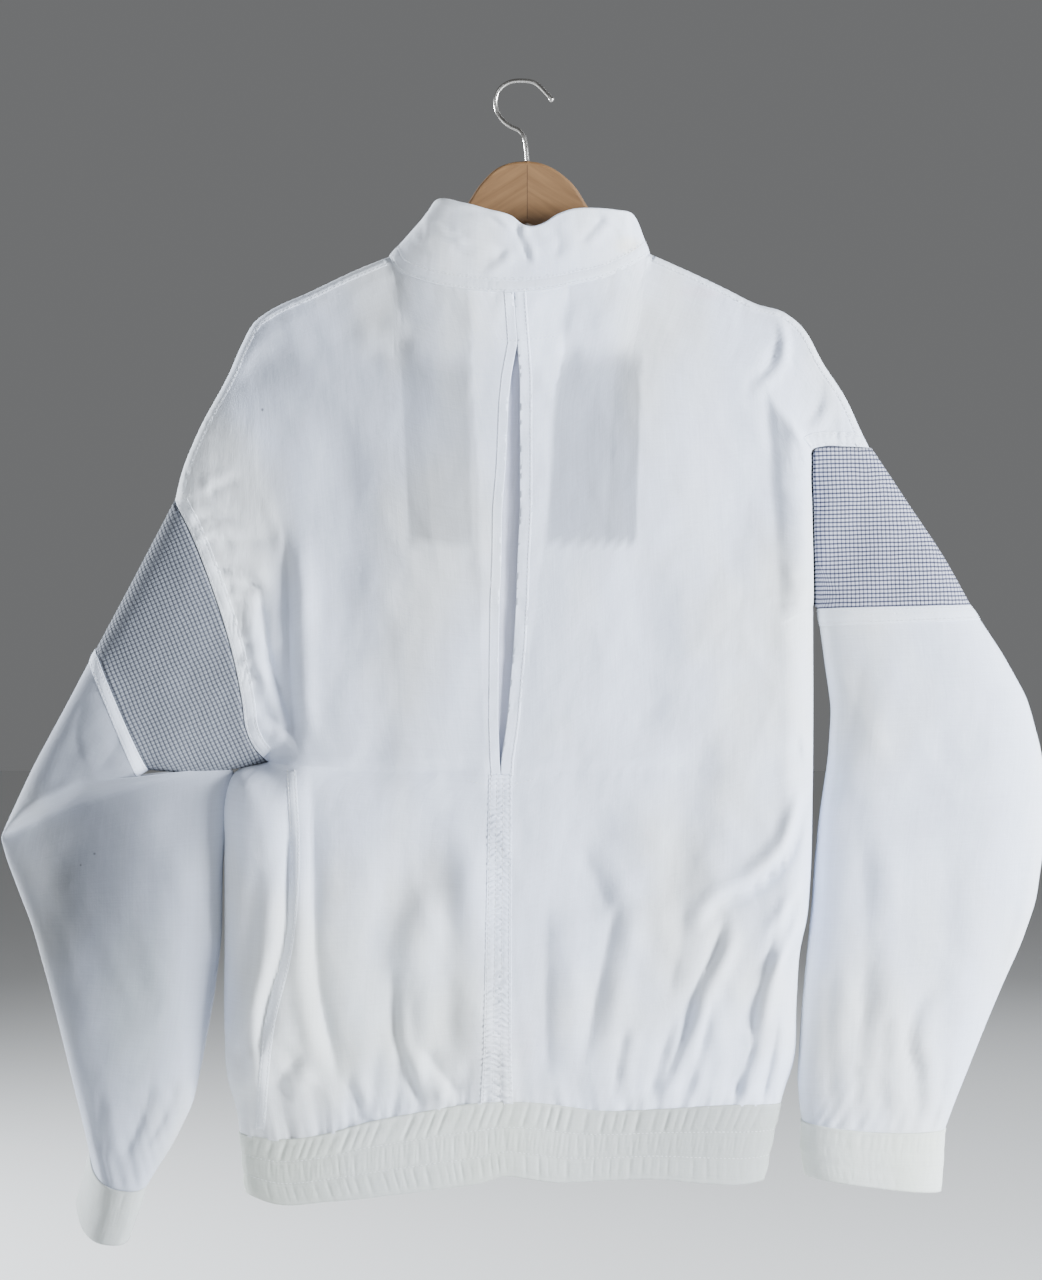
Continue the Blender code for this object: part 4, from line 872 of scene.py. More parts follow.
def cotton(name, cool, warm, weave_pitch=0.0006, crush=0.35, stains=()):
    """White cotton: a plain weave with uneven threads, faint streaks and cool and warm greys."""
    made, tree = finish_tree(name, Roughness=0.86, Sheen_Weight=0.15, Sheen_Roughness=0.5,
                             Specular_IOR_Level=0.25)
    chart = node(tree, "ShaderNodeUVMap", uv_map="cloth").outputs[0]
    place = node(tree, "ShaderNodeTexCoord").outputs["Object"]
    clouds = noise(tree, place, (1, 1, 0.55), Scale=7.5, Detail=3.0, Roughness=0.5)
    colour = mixed(tree, ranged(tree, clouds, 0.42, 0.64), cool, warm)
    streaks = noise(tree, chart, (620, 16, 1), Detail=2.0, Roughness=0.6)
    slubs = noise(tree, chart, (24, 760, 1), Detail=2.0, Roughness=0.6)
    threads = maths(tree, "ADD", streaks, slubs)
    uneven = maths(tree, "MULTIPLY_ADD", threads, 0.12, 0.88)
    tone = node(tree, "ShaderNodeAttribute", attribute_name="tone").outputs["Fac"]
    colour = times_tone(tree, colour, maths(tree, "MULTIPLY", tone, uneven))
    for (x, drop, wide, high), tint in stains:
        off_middle = vector_maths(tree, "SUBTRACT", place, (x * MM, 0, -drop * MM))
        share = vector_maths(tree, "MULTIPLY", off_middle, (1 / (wide * MM), 0, 1 / (high * MM)))
        inside = ranged(tree, vector_maths(tree, "LENGTH", share), 1.0, 0.2)
        colour = mixed(tree, inside, colour, times_tone(tree, colour, tint))
    woven = bump(tree, plain_weave(tree, chart, weave_pitch), 0.22, 0.00012)
    crushed = noise(tree, chart, (70, 46, 1), Detail=4.0, Roughness=0.55)
    crushed = bump(tree, crushed, crush, 0.0016, woven)
    threaded = bump(tree, threads, 0.4, 0.0002, crushed)
    pressed = noise(tree, chart, (17, 9, 1), noise_type="RIDGED_MULTIFRACTAL", Detail=2.0, Distortion=0.4)
    return coloured(made, colour, bump(tree, pressed, crush, 0.0022, threaded))


def checked_mesh(name, crossing, across_thread, along_thread, cell_colour):
    """The sleeve bands' mesh: pale cells between dark blue-grey threads, with pits where they cross."""
    made, tree = finish_tree(name, Roughness=0.88, Sheen_Weight=0.1, Specular_IOR_Level=0.2)
    chart = node(tree, "ShaderNodeUVMap", uv_map="cloth").outputs[0]
    bend = maths(tree, "MULTIPLY_ADD", noise(tree, chart, (40, 40, 1), Detail=1.0), 0.0016, -0.0008)
    split = node(tree, "ShaderNodeSeparateXYZ")
    tree.links.new(chart, split.inputs[0])
    between = []
    for axis, pitch, low, high in ((1, MESH_PITCH_ALONG, 0.1, 0.3), (0, MESH_PITCH_ROUND, 0.06, 0.26)):
        bent = maths(tree, "ADD", split.outputs[axis], bend)
        wave = maths(tree, "PINGPONG", maths(tree, "DIVIDE", bent, pitch * MM), 0.5)
        between.append(ranged(tree, wave, low, high))
    across, along = between
    cell = maths(tree, "MULTIPLY", across, along)
    pit = maths(tree, "MULTIPLY", *(maths(tree, "SUBTRACT", 1.0, share) for share in between))
    threads = mixed(tree, across, mixed(tree, along, crossing, across_thread), along_thread)
    colour = mixed(tree, cell, threads, cell_colour)
    uneven = maths(tree, "MULTIPLY_ADD", noise(tree, chart, (30, 22, 1), Detail=3.0), 0.24, 0.88)
    relief = bump(tree, maths(tree, "SUBTRACT", cell, pit), 0.6, 0.0006)
    return coloured(made, times_tone(tree, colour, uneven), relief)


def hanger_wood(name, lean):
    """Pale varnished wood with fine grain at an angle that follows its arm."""
    made, tree = finish_tree(name, Roughness=0.5, Coat_Weight=0.1, Coat_Roughness=0.35)
    turned = node(tree, "ShaderNodeMapping", Rotation=(0, math.radians(lean), 0))
    tree.links.new(node(tree, "ShaderNodeTexCoord").outputs["Object"], turned.inputs["Vector"])
    place = turned.outputs[0]
    wander = noise(tree, place, (7, 30, 30), Detail=2.0)
    rings = noise(tree, place, (14, 160, 190), Detail=5.0, Roughness=0.62, Distortion=0.5)
    flecks = noise(tree, place, (110, 900, 900), Detail=2.0)
    grain = mixed(tree, rings, (0.104, 0.047, 0.017), (0.315, 0.178, 0.077))
    spots = maths(tree, "MULTIPLY", ranged(tree, flecks, 0.62, 0.75, "LINEAR"), 0.45)
    colour = mixed(tree, spots, grain, (0.11, 0.05, 0.025))
    tone = maths(tree, "MULTIPLY_ADD", wander, 0.35, 0.82)
    return coloured(made, times_tone(tree, colour, tone), bump(tree, rings, 0.12, 0.0003))


def bright_metal(name, colour, roughness, scratch):
    """Plated metal with fine rubbed scratches and dulled spots."""
    made, tree = finish_tree(name, Roughness=roughness, Metallic=1.0)
    place = node(tree, "ShaderNodeTexCoord").outputs["Object"]
    worn = noise(tree, place, Scale=160.0, Detail=4.0)
    dull = maths(tree, "MULTIPLY_ADD", worn, 0.3, roughness - 0.12)
    dark = tuple(c * 0.72 for c in colour)
    rubbed = noise(tree, place, (900, 900, 260), Detail=3.0)
    return coloured(made, mixed(tree, worn, dark, colour), bump(tree, rubbed, scratch, 0.0001), dull)


def plain_finish(name, colour, roughness):
    """A plain matt finish with slight unevenness."""
    made, tree = finish_tree(name, Roughness=roughness)
    grain = noise(tree, node(tree, "ShaderNodeTexCoord").outputs["Object"], Scale=420.0, Detail=2.0)
    dark = tuple(c * (1 - SPECKLE) for c in colour)
    return coloured(made, mixed(tree, grain, dark, colour), bump(tree, grain, 0.2, 0.0001))


# Specks and faint stains as (middle x and drop, half width and half height) and their colour
STAINS = (
    ((-207, 263, 1.6, 1.8), (0.35, 0.35, 0.36)),
    ((-17, 610, 1.2, 1.4), (0.5, 0.45, 0.42)),
    ((-340, 615, 1.5, 1.4), (0.45, 0.43, 0.42)),
    ((-351, 624, 1.2, 1.3), (0.55, 0.52, 0.5)),
    ((84, 133, 16, 12), (1.0, 0.95, 0.84)),
    ((144, 169, 30, 9), (1.0, 0.94, 0.94)),
    ((148, 300, 26, 60), (1.0, 0.975, 0.965)),
    ((-8, 762, 40, 34), (1.0, 0.975, 0.97)),
    ((-120, 735, 130, 105), (1.0, 0.995, 0.93)),
    ((110, 640, 22, 110), (1.0, 0.99, 0.955)),
    ((-305, 730, 46, 100), (0.985, 1.0, 0.94)),
)
WHITE_COTTON = cotton("white_cotton_cloth", (0.72, 0.775, 0.915), (0.75, 0.775, 0.81), stains=STAINS)
BAND_COTTON = cotton("elastic_band_cloth", (0.63, 0.66, 0.645), (0.60, 0.63, 0.575), crush=0.5)
FELLED_COTTON = cotton("felled_seam_cloth", (0.78, 0.835, 0.96), (0.79, 0.825, 0.88), crush=0.45)
# The underlay's grey-blue is painted shade inside the slit
SHADED_PLEAT_COTTON = cotton("pleat_underlay_cloth", (0.62, 0.64, 0.76), (0.57, 0.59, 0.68))
TAPE_COTTON = cotton("zip_tape_cloth", (0.80, 0.81, 0.83), (0.78, 0.79, 0.80), weave_pitch=0.0009)
# Two copies of one mesh finish: the left darker as painted shade, the right lighter as painted light
MESH_FINISHES = {
    "left": checked_mesh("checked_mesh_painted_shade", (0.078, 0.085, 0.112), (0.117, 0.126, 0.155),
                         (0.17, 0.183, 0.222), (0.28, 0.30, 0.34)),
    "right": checked_mesh("checked_mesh_painted_light", (0.034, 0.037, 0.062), (0.075, 0.079, 0.125),
                          (0.18, 0.19, 0.27), (0.50, 0.51, 0.60)),
}
THREAD = plain_finish("sewing_thread", (0.84, 0.855, 0.88), 0.7)
GLUE = plain_finish("glue_line", (0.07, 0.035, 0.018), 0.7)
TOOTH = plain_finish("zip_teeth_resin", (0.80, 0.81, 0.82), 0.4)
WOOD_LEFT = hanger_wood("varnished_beech_left", 32)
WOOD_RIGHT = hanger_wood("varnished_beech_right", -32)
WIRE = bright_metal("hook_chrome", (0.58, 0.56, 0.53), 0.2, 0.1)
NICKEL = bright_metal("zip_nickel", (0.66, 0.65, 0.62), 0.32, 0.2)


# Stitches and zip teeth, laid along lines by Geometry Nodes
def line_tree(name, finish, smooth_shaded, kind, **unit_size):
    """A node tree that lays one small unit along each line at an even pitch."""
    tree = bpy.data.node_groups.new(name, "GeometryNodeTree")
    tree.interface.new_socket("Geometry", in_out="INPUT", socket_type="NodeSocketGeometry")
    for label in ("Pitch", "Length", "Width", "Height"):
        tree.interface.new_socket(label, in_out="INPUT", socket_type="NodeSocketFloat")
    tree.interface.new_socket("Geometry", in_out="OUTPUT", socket_type="NodeSocketGeometry")
    given, result = node(tree, "NodeGroupInput"), node(tree, "NodeGroupOutput")
    spread = node(tree, "GeometryNodeCurveToPoints", mode="LENGTH")
    unit = node(tree, kind, **unit_size)
    size = node(tree, "ShaderNodeCombineXYZ")
    instances = node(tree, "GeometryNodeInstanceOnPoints")
    real = node(tree, "GeometryNodeRealizeInstances")
    smooth = node(tree, "GeometryNodeSetShadeSmooth", Shade_Smooth=smooth_shaded)
    coat = node(tree, "GeometryNodeSetMaterial", Material=finish)
    for source, target in (
        (given.outputs["Geometry"], spread.inputs["Curve"]),
        (given.outputs["Pitch"], spread.inputs["Length"]),
        (given.outputs["Width"], size.inputs[0]),
        (given.outputs["Height"], size.inputs[1]),
        (given.outputs["Length"], size.inputs[2]),
        (spread.outputs["Points"], instances.inputs["Points"]),
        (unit.outputs["Mesh"], instances.inputs["Instance"]),
        (spread.outputs["Rotation"], instances.inputs["Rotation"]),
        (size.outputs[0], instances.inputs["Scale"]),
        (instances.outputs[0], real.inputs[0]),
        (real.outputs[0], smooth.inputs[0]),
        (smooth.outputs[0], coat.inputs["Geometry"]),
        (coat.outputs[0], result.inputs[0]),
    ):
        tree.links.new(source, target)
    return tree


def add_line(data, points):
    """A straight-sided spline through points in metres, added to a curve."""
    spline = data.splines.new("POLY")
    spline.points.add(len(points) - 1)
    spline.points.foreach_set("co", np.concatenate([points, np.ones((len(points), 1))], axis=1).ravel())
    return spline


def plain_mesh(name, guide, finish):
    """The mesh that a guide object shows, as a piece of its own in the guide's place."""
    bpy.context.view_layer.update()
    mesh = bpy.data.meshes.new_from_object(guide.evaluated_get(bpy.context.evaluated_depsgraph_get()))
    bpy.data.objects.remove(guide)
    mesh.name = name
    mesh.materials.clear()
    mesh.materials.append(finish)
    piece = in_scene(name, mesh)
    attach(piece, "root")
    return piece


def along_lines(name, lines, tree, sizes, finish):
    """One plain mesh of small shapes along lines of x, depth and drop."""
    data = bpy.data.curves.new(name + "_lines", "CURVE")
    data.dimensions = "3D"
    for line in lines:
        add_line(data, to_world(line))
    guide = in_scene(name + "_lines", data)
    laid = guide.modifiers.new("laid", "NODES")
    laid.node_group = tree
    sockets = {item.name: item.identifier for item in tree.interface.items_tree if item.in_out == "INPUT"}
    for label, value in sizes.items():
        laid[sockets[label]] = value * MM
    return plain_mesh(name, guide, finish)


def surface_of(grid):
    """A tree of a cloth grid's faces in world metres, for laying things on it."""
    faces = grid_faces(*grid.shape[:2], False)[2]
    return BVHTree.FromPolygons(to_world(grid).reshape(-1, 3).tolist(), faces.tolist())


# How far outside the jacket a search for its cloth starts, and how far out it looks beside an edge
OUTSIDE = 0.2
BESIDE = 0.04


def laid_on(surfaces, flat, lift, near=True):
    """Flat places put on the first cloth that is met from the near or far side, and lifted off it."""
    towards = 1.0 if near else -1.0
    result = []
    for x, drop in np.asarray(flat, float).reshape(-1, 2):
        start = Vector((x * MM, -OUTSIDE * towards, -drop * MM))
        best = None
        for surface in surfaces:
            place, normal, _, distance = surface.ray_cast(start, Vector((0, towards, 0)))
            if place is None:
                beside = Vector((x * MM, -BESIDE * towards, -drop * MM))
                place, normal, _, distance = surface.find_nearest(beside)
                distance += 1
            if best is None or distance < best[2]:
                best = (place, normal, distance)
        place, normal, _ = best
        if normal.y * towards > 0:
            normal = -normal
        lifted = place + normal * lift * MM
        result.append((lifted.x / MM, lifted.y / MM, -lifted.z / MM))
    return np.array(result).reshape(np.shape(flat)[:-1] + (3,))


def blurred(rows, times):
    """Rows smoothed along their order, with the ends kept."""
    for _ in range(times):
        rows[1:-1] = 0.25 * rows[:-2] + 0.5 * rows[1:-1] + 0.25 * rows[2:]
    return rows


def crown(share):
    """How high a felled strip is across its width, as a share of its height in the middle."""
    return 0.55 + 0.45 * np.sin(math.pi * share) ** 0.5


def strip_between(surfaces, first, second, columns, lift, near=True, **sewing):
    """A strip of cloth laid on a surface between two flat lines, raised in the middle of its width."""
    share = np.linspace(0, 1, columns)[None, :, None]
    flat = first[:, None] * (1 - share) + second[:, None] * share
    on_cloth = laid_on(surfaces, flat, 0.0, near)
    normal = outward(on_cloth, (0, -1 if near else 1, 0))
    height = strip_height(on_cloth, share[..., 0], crown(share[..., 0]) * lift, **sewing)
    return on_cloth + normal * height[..., None]


def strip_height(grid, share, height, rows=STITCH_ROWS, pucker=0.22, pitch=6.3, grow=0.0):
    """How far a stitched strip stands off its cloth: puffed between its rows of stitches, and puckered."""
    step = np.linalg.norm(np.diff(grid, axis=0), axis=2).mean(1)
    passed = np.concatenate([[0], np.cumsum(step)])[:, None]
    share = np.broadcast_to(share, grid.shape[:2])
    patchy = soft_noise(np.dstack([3.5 * share, passed / (1.6 * pitch) + 0 * share]), 1, 1, 8)
    step = passed / pitch + 0.3 * np.sin(passed / 17) + 0.35 * np.sin(3 * share) + 0.3 * patchy
    wave = np.sin(2 * math.pi * step)
    drawn = pucker * wave * (0.6 + 0.4 * np.sin(passed / 29)) * (0.65 + 0.5 * patchy)
    drawn = drawn * (1 + grow * (passed / passed[-1] - 0.4))
    groove = sum([np.exp(-(((share - row) / (0.18 / len(rows))) ** 2)) for row in rows], 0 * share)
    return np.maximum(height + drawn - 0.45 * groove, 0.22)


def offset_line(line, distance):
    """A flat line moved to its right by a distance, as it runs."""
    along = np.gradient(line, axis=0)
    along = along / np.linalg.norm(along, axis=1, keepdims=True)
    return line + np.stack([along[:, 1], -along[:, 0]], axis=1) * np.reshape(distance, (-1, 1))


def grid_line(grid, row=None, column=None, lift=0.5, towards=(0, -1, 0)):
    """A row or a column of a grid, lifted off its cloth, with a share between whole ones."""
    lines = grid + outward(grid, towards) * lift
    if row is None:
        lines, row = lines.swapaxes(0, 1), column
    low = int(math.floor(row))
    return lines[low] + (lines[min(low + 1, len(lines) - 1)] - lines[low]) * (row - low)


STITCH = line_tree("stitch_row", THREAD, True, "GeometryNodeMeshIcoSphere", Radius=0.5, Subdivisions=1)
TEETH = line_tree("zip_tooth_row", TOOTH, False, "GeometryNodeMeshCube", Size=(1, 1, 1))
STITCH_SIZES = {"Pitch": 3.4, "Length": 2.7, "Width": 0.55, "Height": 0.5}
TOOTH_SIZES = {"Pitch": 2.6, "Length": 1.3, "Width": 2.4, "Height": 1.1}
stitch_lines = []

# Body
GRIDS, BODY, SURFACES = {}, {}, {}
for face, steps in BODY_STEPS.items():
    for side in ("left", "right"):
        grid = body_grid(side, face, *steps)
        tone = body_tone(grid) if face == "back" else 1 + 0.02 * soft_noise(grid[..., [0, 2]], 70, 150, 31)
        BODY[face, side] = cloth_piece(f"{face}_{side}_cloth", grid, WHITE_COTTON,
                                       f"{face}_{side}", tone=tone)
        GRIDS[face, side], SURFACES[face, side] = grid, [surface_of(grid)]
    SURFACES[face, "both"] = SURFACES[face, "left"] + SURFACES[face, "right"]


def make_pleat():
    """The underlay inside the slit."""
    drops = np.linspace(PLEAT[0][0], PLEAT[-1][0], 60)
    table = np.array(PLEAT, float)
    left, right = (np.interp(drops, table[:, 0], table[:, k]) for k in (1, 2))
    share = np.linspace(0, 1, 24)[None]
    x = left[:, None] * (1 - share) + right[:, None] * share
    flat = np.dstack([x, np.broadcast_to(drops[:, None], x.shape)])
    outer = laid_on(SURFACES["back", "both"], flat, 0.0)
    smooth = outer[..., 1].mean(1, keepdims=True) * 0.5 + outer[..., 1] * 0.5
    grid = np.dstack([x, smooth + PLEAT_BEHIND, flat[..., 1]])
    fold = np.exp(-(((x + 11 + 0.02 * (flat[..., 1] - 300)) / 3.0) ** 2))
    grid[..., 1] += 1.4 * fold
    return cloth_piece("back_pleat_cloth", grid, SHADED_PLEAT_COTTON, "back_pleat")


PLEAT_PIECE = make_pleat()


def flat_chart(grid, seam):
    """The chart of a mesh band, square to its lower seam, with lengths round the sleeve."""
    along = np.array((seam[2] - seam[0], seam[3] - seam[1]), float)
    along = along / np.linalg.norm(along)
    across = np.array((-along[1], along[0]))
    ring = np.concatenate([grid, grid[:, :1]], axis=1)
    step = np.linalg.norm(np.diff(ring, axis=1), axis=2)
    flat = ring[..., [0, 2]]
    straight = np.diff(flat @ along, axis=1)
    half = grid.shape[1] // 2
    column = np.arange(grid.shape[1]) % half
    on_fold = (column < 0.3 * half) | (column > 0.7 * half)
    forward = np.where(np.arange(grid.shape[1]) < half, 1.0, -1.0)
    moved = np.where(on_fold, np.maximum(step, np.abs(straight)), np.abs(straight)) * forward
    u = np.concatenate([np.zeros((len(ring), 1)), np.cumsum(moved, axis=1)], axis=1)
    quarter = half // 2
    return np.dstack([u + (flat[:, quarter] @ along - u[:, quarter])[:, None], flat @ across])


def ring_from_sections(near_flat, far_flat, near_depth, far_depth):
    """Closed rings: near cloth from the outer fold to the inner one, then far cloth back again."""
    near = np.dstack([near_flat[..., 0], -near_depth, near_flat[..., 1]])
    far = np.dstack([far_flat[..., 0], far_depth, far_flat[..., 1]])
    return np.concatenate([near, far[:, -2:0:-1]], axis=1)


def make_mesh_band(side):
    """The checked mesh round an upper sleeve, between the armhole and its lower seam."""
    shares = refined(SLEEVE_ACROSS, 6)
    if side == "left":
        armhole, seam = ARMHOLE_LEFT, MESH_SEAM_LEFT
        outer_line = ((-278, 334), (-310, 395), (-341, 453))
        inner_line = ((-205.2, 540.3), (-234, 547), (-270, 550.5), (-300, 549))
        shift, start = np.array((-0.6, 0.4)), 1.0
    else:
        armhole, seam = ARMHOLE_RIGHT, MESH_SEAM_RIGHT
        outer_line = ((276, 292), (305, 335), (336, 381), (357, 418))
        inner_line = ((232.2, 418), (235.5, 421))
        shift, start = np.array((2.0, 0.4)), 0.6
    up = np.linspace(0, 1, 30)
    first = curve_through(armhole, 1 - shares)
    first[-1] = inner_line[0]
    last = np.array(seam[0:2])[None] + (np.array(seam[2:4]) - np.array(seam[0:2]))[None] * shares[:, None]
    outer, inner = curve_through(outer_line, up), curve_through(inner_line, up)
    flat = between_edges(first, last, outer, inner, shares, up)
    flat = flat + shift * (1 - up)[:, None, None]
    profile = oval(shares)[None]
    near = profile * (ARMHOLE_DEPTH * start + (seam[4] - ARMHOLE_DEPTH * start) * up[:, None])
    far = profile * (ARMHOLE_DEPTH * start + (seam[5] - ARMHOLE_DEPTH * start) * up[:, None])
    still = level(up * 6)[:, None] * level((1 - up) * 6)[:, None]
    uneven = crumple(flat, 6 if side == "left" else 7) * profile * still
    rings = ring_from_sections(flat, flat, near + uneven, far + uneven)
    name = f"sleeve_mesh_{side}"
    return cloth_piece(name + "_cloth", rings, MESH_FINISHES[side], name, closed=True,
                       chart=flat_chart(rings, seam))


def sleeve_rings(sections, per, near_creases, seed):
    """Closed rings of a sleeve through a table of sections, with its creases."""
    table = np.array(sections, float)
    rows = np.stack([refined(table[:, k], per) for k in range(9)], axis=1)
    rows = blurred(rows, 8)
    shares = refined(SLEEVE_ACROSS, 5)
    s = shares[None, :, None]
    outer, inner = rows[:, None, 0:2], rows[:, None, 2:4]
    chord = inner - outer
    square = np.stack([-chord[..., 1], chord[..., 0]], axis=2)
    square = square / np.linalg.norm(square, axis=2, keepdims=True)
    square = square * np.sign(square[..., 1:2])
    flat = outer + chord * s + square * rows[:, None, 6:7] * 4 * s * (1 - s)
    profile = oval(shares)[None, :]
    lean = rows[:, None, 7:9] * profile[..., None]
    near_flat, far_flat = flat + lean, flat - lean
    along = np.linspace(0, 1, len(rows))[:, None]
    still = level(along * 14) * level((1 - along) * 22)
    width = np.linalg.norm(chord, axis=2)
    tight = np.exp(-(1 - along) * 13) * level((1 - along) * 60)
    folds = 3.0 * gathers(shares[None] * width, 10.5, 2.6, seed) * tight
    near, far = rows[:, 4:5] * profile, rows[:, 5:6] * profile
    near_lift = SLEEVE_FOLD_SHARE * crease_lift(near_flat, near_creases) + crumple(near_flat, seed)
    far_lift = SLEEVE_FOLD_SHARE * crease_lift(far_flat, FAR_SLEEVE_CREASES) + crumple(far_flat, seed + 2)
    near, far = kept_apart(near, near_lift * profile * still), kept_apart(far, far_lift * profile * still)
    near, far = near + folds * profile, far + folds[:, ::-1] * profile
    near, far = (np.maximum(cloth, FOLD_GAP * np.minimum(1, profile * 20)) for cloth in (near, far))
    return ring_from_sections(near_flat, far_flat, near, far)


def make_lower_sleeve(side):
    """A full lower sleeve, from its mesh band to its cuff."""
    seam, sections, creases, seed, down = {
        "left": (MESH_SEAM_LEFT, LOWER_LEFT, LEFT_SLEEVE_CREASES, 11, (-0.45, 0.25)),
        "right": (MESH_SEAM_RIGHT, LOWER_RIGHT, RIGHT_SLEEVE_CREASES, 14, (0.05, 0.45)),
    }[side]
    first = list(seam)
    for place_in_row in (0, 2):
        first[place_in_row] += down[0]
        first[place_in_row + 1] += down[1]
    rings = sleeve_rings((tuple(first),) + sections, 12, creases, seed)
    flat = rings[..., [0, 2]]
    near_side = rings[..., 1] < 0
    # Painted shade in the troughs and painted highlight on the ridges, and painted shade over the left lower
    # sleeve
    shade = np.where(near_side, crease_shade(flat, creases), crease_shade(flat, FAR_SLEEVE_CREASES))
    tone = 1 + 0.035 * soft_noise(flat, 50, 140, seed) + SLEEVE_FOLD_SHARE * shade
    if side == "left":
        tone = tone - SLEEVE_SHADE - SLEEVE_SHADE_DEEP * soft_oval(flat, *SLEEVE_SHADE_OVAL)
    name = f"sleeve_lower_{side}"
    piece = cloth_piece(name + "_cloth", rings, WHITE_COTTON, name, closed=True, tone=tone)
    return piece, rings


def even_round(half_width, half_depth, fractions):
    """Points round a flattened oval, evenly spaced, as shares across it and depths."""
    turn = np.linspace(0, 2 * math.pi, 1441)
    power = 2 / OVAL_POWER
    x = np.sign(np.cos(turn)) * np.abs(np.cos(turn)) ** power
    y = np.sign(np.sin(turn)) * np.abs(np.sin(turn)) ** power
    length = np.concatenate([[0], np.cumsum(np.hypot(np.diff(x * half_width), np.diff(y * half_depth)))])
    at = np.asarray(fractions) * length[-1]
    return np.interp(at, length, x), np.interp(at, length, y)


def band_relief(up, place, pitch, seed, lean=1.0):
    """How far an elastic band stands out: leaning gathers in its top channel, finer ones below."""
    slant = lean * (0.75 + 0.5 * np.sin(place / 61 + seed))
    top = gathers(place + 24 * up * slant, pitch, 1.5, 1)
    middle = 0.6 * gathers(place - 7 * up, pitch * 0.8, 1.1, seed + 2)
    middle = middle + 0.5 * gathers(place + 3 * up, pitch * 0.37, 0.9, seed + 3)
    foot = gathers(place - 16 * up * slant, pitch * 0.9, 1.2, seed + 5)
    first, second = CHANNEL_LINES
    in_top = level((first - up) / 0.03 + 0.5)
    in_foot = level((up - second) / 0.03 + 0.5)
    in_middle = (1 - in_top) * (1 - in_foot)
    relief = 1.15 * top * in_top + 0.7 * middle * in_middle + 0.6 * foot * in_foot
    for line in (0.0,) + CHANNEL_LINES + (0.96,):
        relief = relief * (1 - 0.92 * np.exp(-(((up - line) / 0.04) ** 2)))
        relief = relief - 0.35 * np.exp(-(((up - line) / 0.025) ** 2)) * (line > 0)
    puff = 0.7 * np.sin(math.pi * np.clip(up / first, 0, 1)) ** 2 * in_top
    puff = puff + 0.5 * np.sin(math.pi * np.clip((up - first) / (second - first), 0, 1)) ** 2
    puff = puff + 0.5 * np.sin(math.pi * np.clip((up - second) / (1 - second), 0, 1)) ** 2
    return relief + puff


def make_cuff(side, sections):
    """An elastic cuff, gathered round its sleeve's end."""
    rows = np.array(sections, float)
    count = 260
    fractions = np.arange(count) / count
    across, depth = even_round(60, 28, fractions)
    share = (across + 1) / 2
    rings = []
    for up in np.linspace(0, 1, 25):
        row = np.array([np.interp(up * (len(rows) - 1), np.arange(len(rows)), rows[:, k]) for k in range(9)])
        outer, inner = row[0:2], row[2:4]
        half = np.linalg.norm(inner - outer) / 2
        relief = 0.3 * band_relief(up, fractions * 5.4 * half, CUFF_PITCH, 6, 0.15) + 0.9 * falloff(up, 0.1)
        near_y = -depth * (np.where(depth > 0, row[4], row[5]) + relief)
        stretch = 1 + np.abs(across) ** 4 * relief / half
        flat = (outer + inner) / 2 + (inner - outer) / 2 * (across * stretch)[:, None]
        flat = flat + np.array((0, 1.0)) * (row[6] * 4 * share * (1 - share))[:, None]
        flat = flat + row[7:9] * depth[:, None]
        flat[:, 1] -= 1.5 * (1 - up)
        rings.append(np.stack([flat[:, 0], near_y, flat[:, 1]], axis=1))
    rings = np.array(rings)
    # The cuff's tone is painted shade on the left and painted light on the right
    tone = np.full(rings.shape[:2], CUFF_LIGHT_AND_SHADE[side])
    return cloth_piece(f"cuff_{side}_cloth", rings, BAND_COTTON, f"cuff_{side}",
                       BAND_THICKNESS, closed=True, tone=tone)


def make_waistband():
    """The elastic waistband, from one side of the front zip round the back to the other."""
    middle = (WAIST_SEAM[0][0] + WAIST_SEAM[-1][0]) / 2
    half = (WAIST_SEAM[-1][0] - WAIST_SEAM[0][0]) / 2
    zip_share = (FRONT_CENTRE - middle) / half
    fractions = np.linspace(0, 1, 900)
    spread, _ = even_round(half, WAIST_DEPTH, np.linspace(0, 1, 1441))
    quarter = np.interp(-zip_share, -spread[:721], np.linspace(0, 0.5, 721))
    edge = FRONT_EDGE / (4 * half + 4 * WAIST_DEPTH) * 1.08
    turn = quarter + edge + fractions * (1 - 2 * edge)
    across, depth = even_round(half, WAIST_DEPTH, turn % 1.0)
    share = (across + 1) / 2
    seam, hem = curve_through(WAIST_SEAM, share), curve_through(HEM, share)
    calm = np.clip((np.abs(across - zip_share) * half - 17) / 8, 0, 1)
    calm = np.where(depth > 0, calm, 1)
    rows = []
    for up in np.linspace(0, 1, 34):
        flat = seam + (hem - seam) * up
        flat[:, 1] -= 1.4 * (1 - up)
        out = band_relief(up, fractions * 900, WAIST_PITCH, 2) * calm + 0.9 * falloff(up, 0.1)
        x = flat[:, 0] + np.sign(across) * np.abs(across) ** 8 * out
        y = depth * (WAIST_DEPTH - 1.5 * up) + np.sign(depth) * (1 - np.abs(across) ** 8) * out
        rows.append(np.stack([x, y, flat[:, 1]], axis=1))
    grid = np.array(rows)
    # The band is darker towards its right end as painted shade; the noise is its uneven tone
    tone = 1.0 + 0.07 * soft_noise(grid[..., [0, 2]], 70, 60, 51) - 0.3 * level(grid[..., 0] / 150)
    piece = cloth_piece("waistband_cloth", grid, BAND_COTTON, "waistband",
                        BAND_THICKNESS, tone=tone)
    return piece, grid


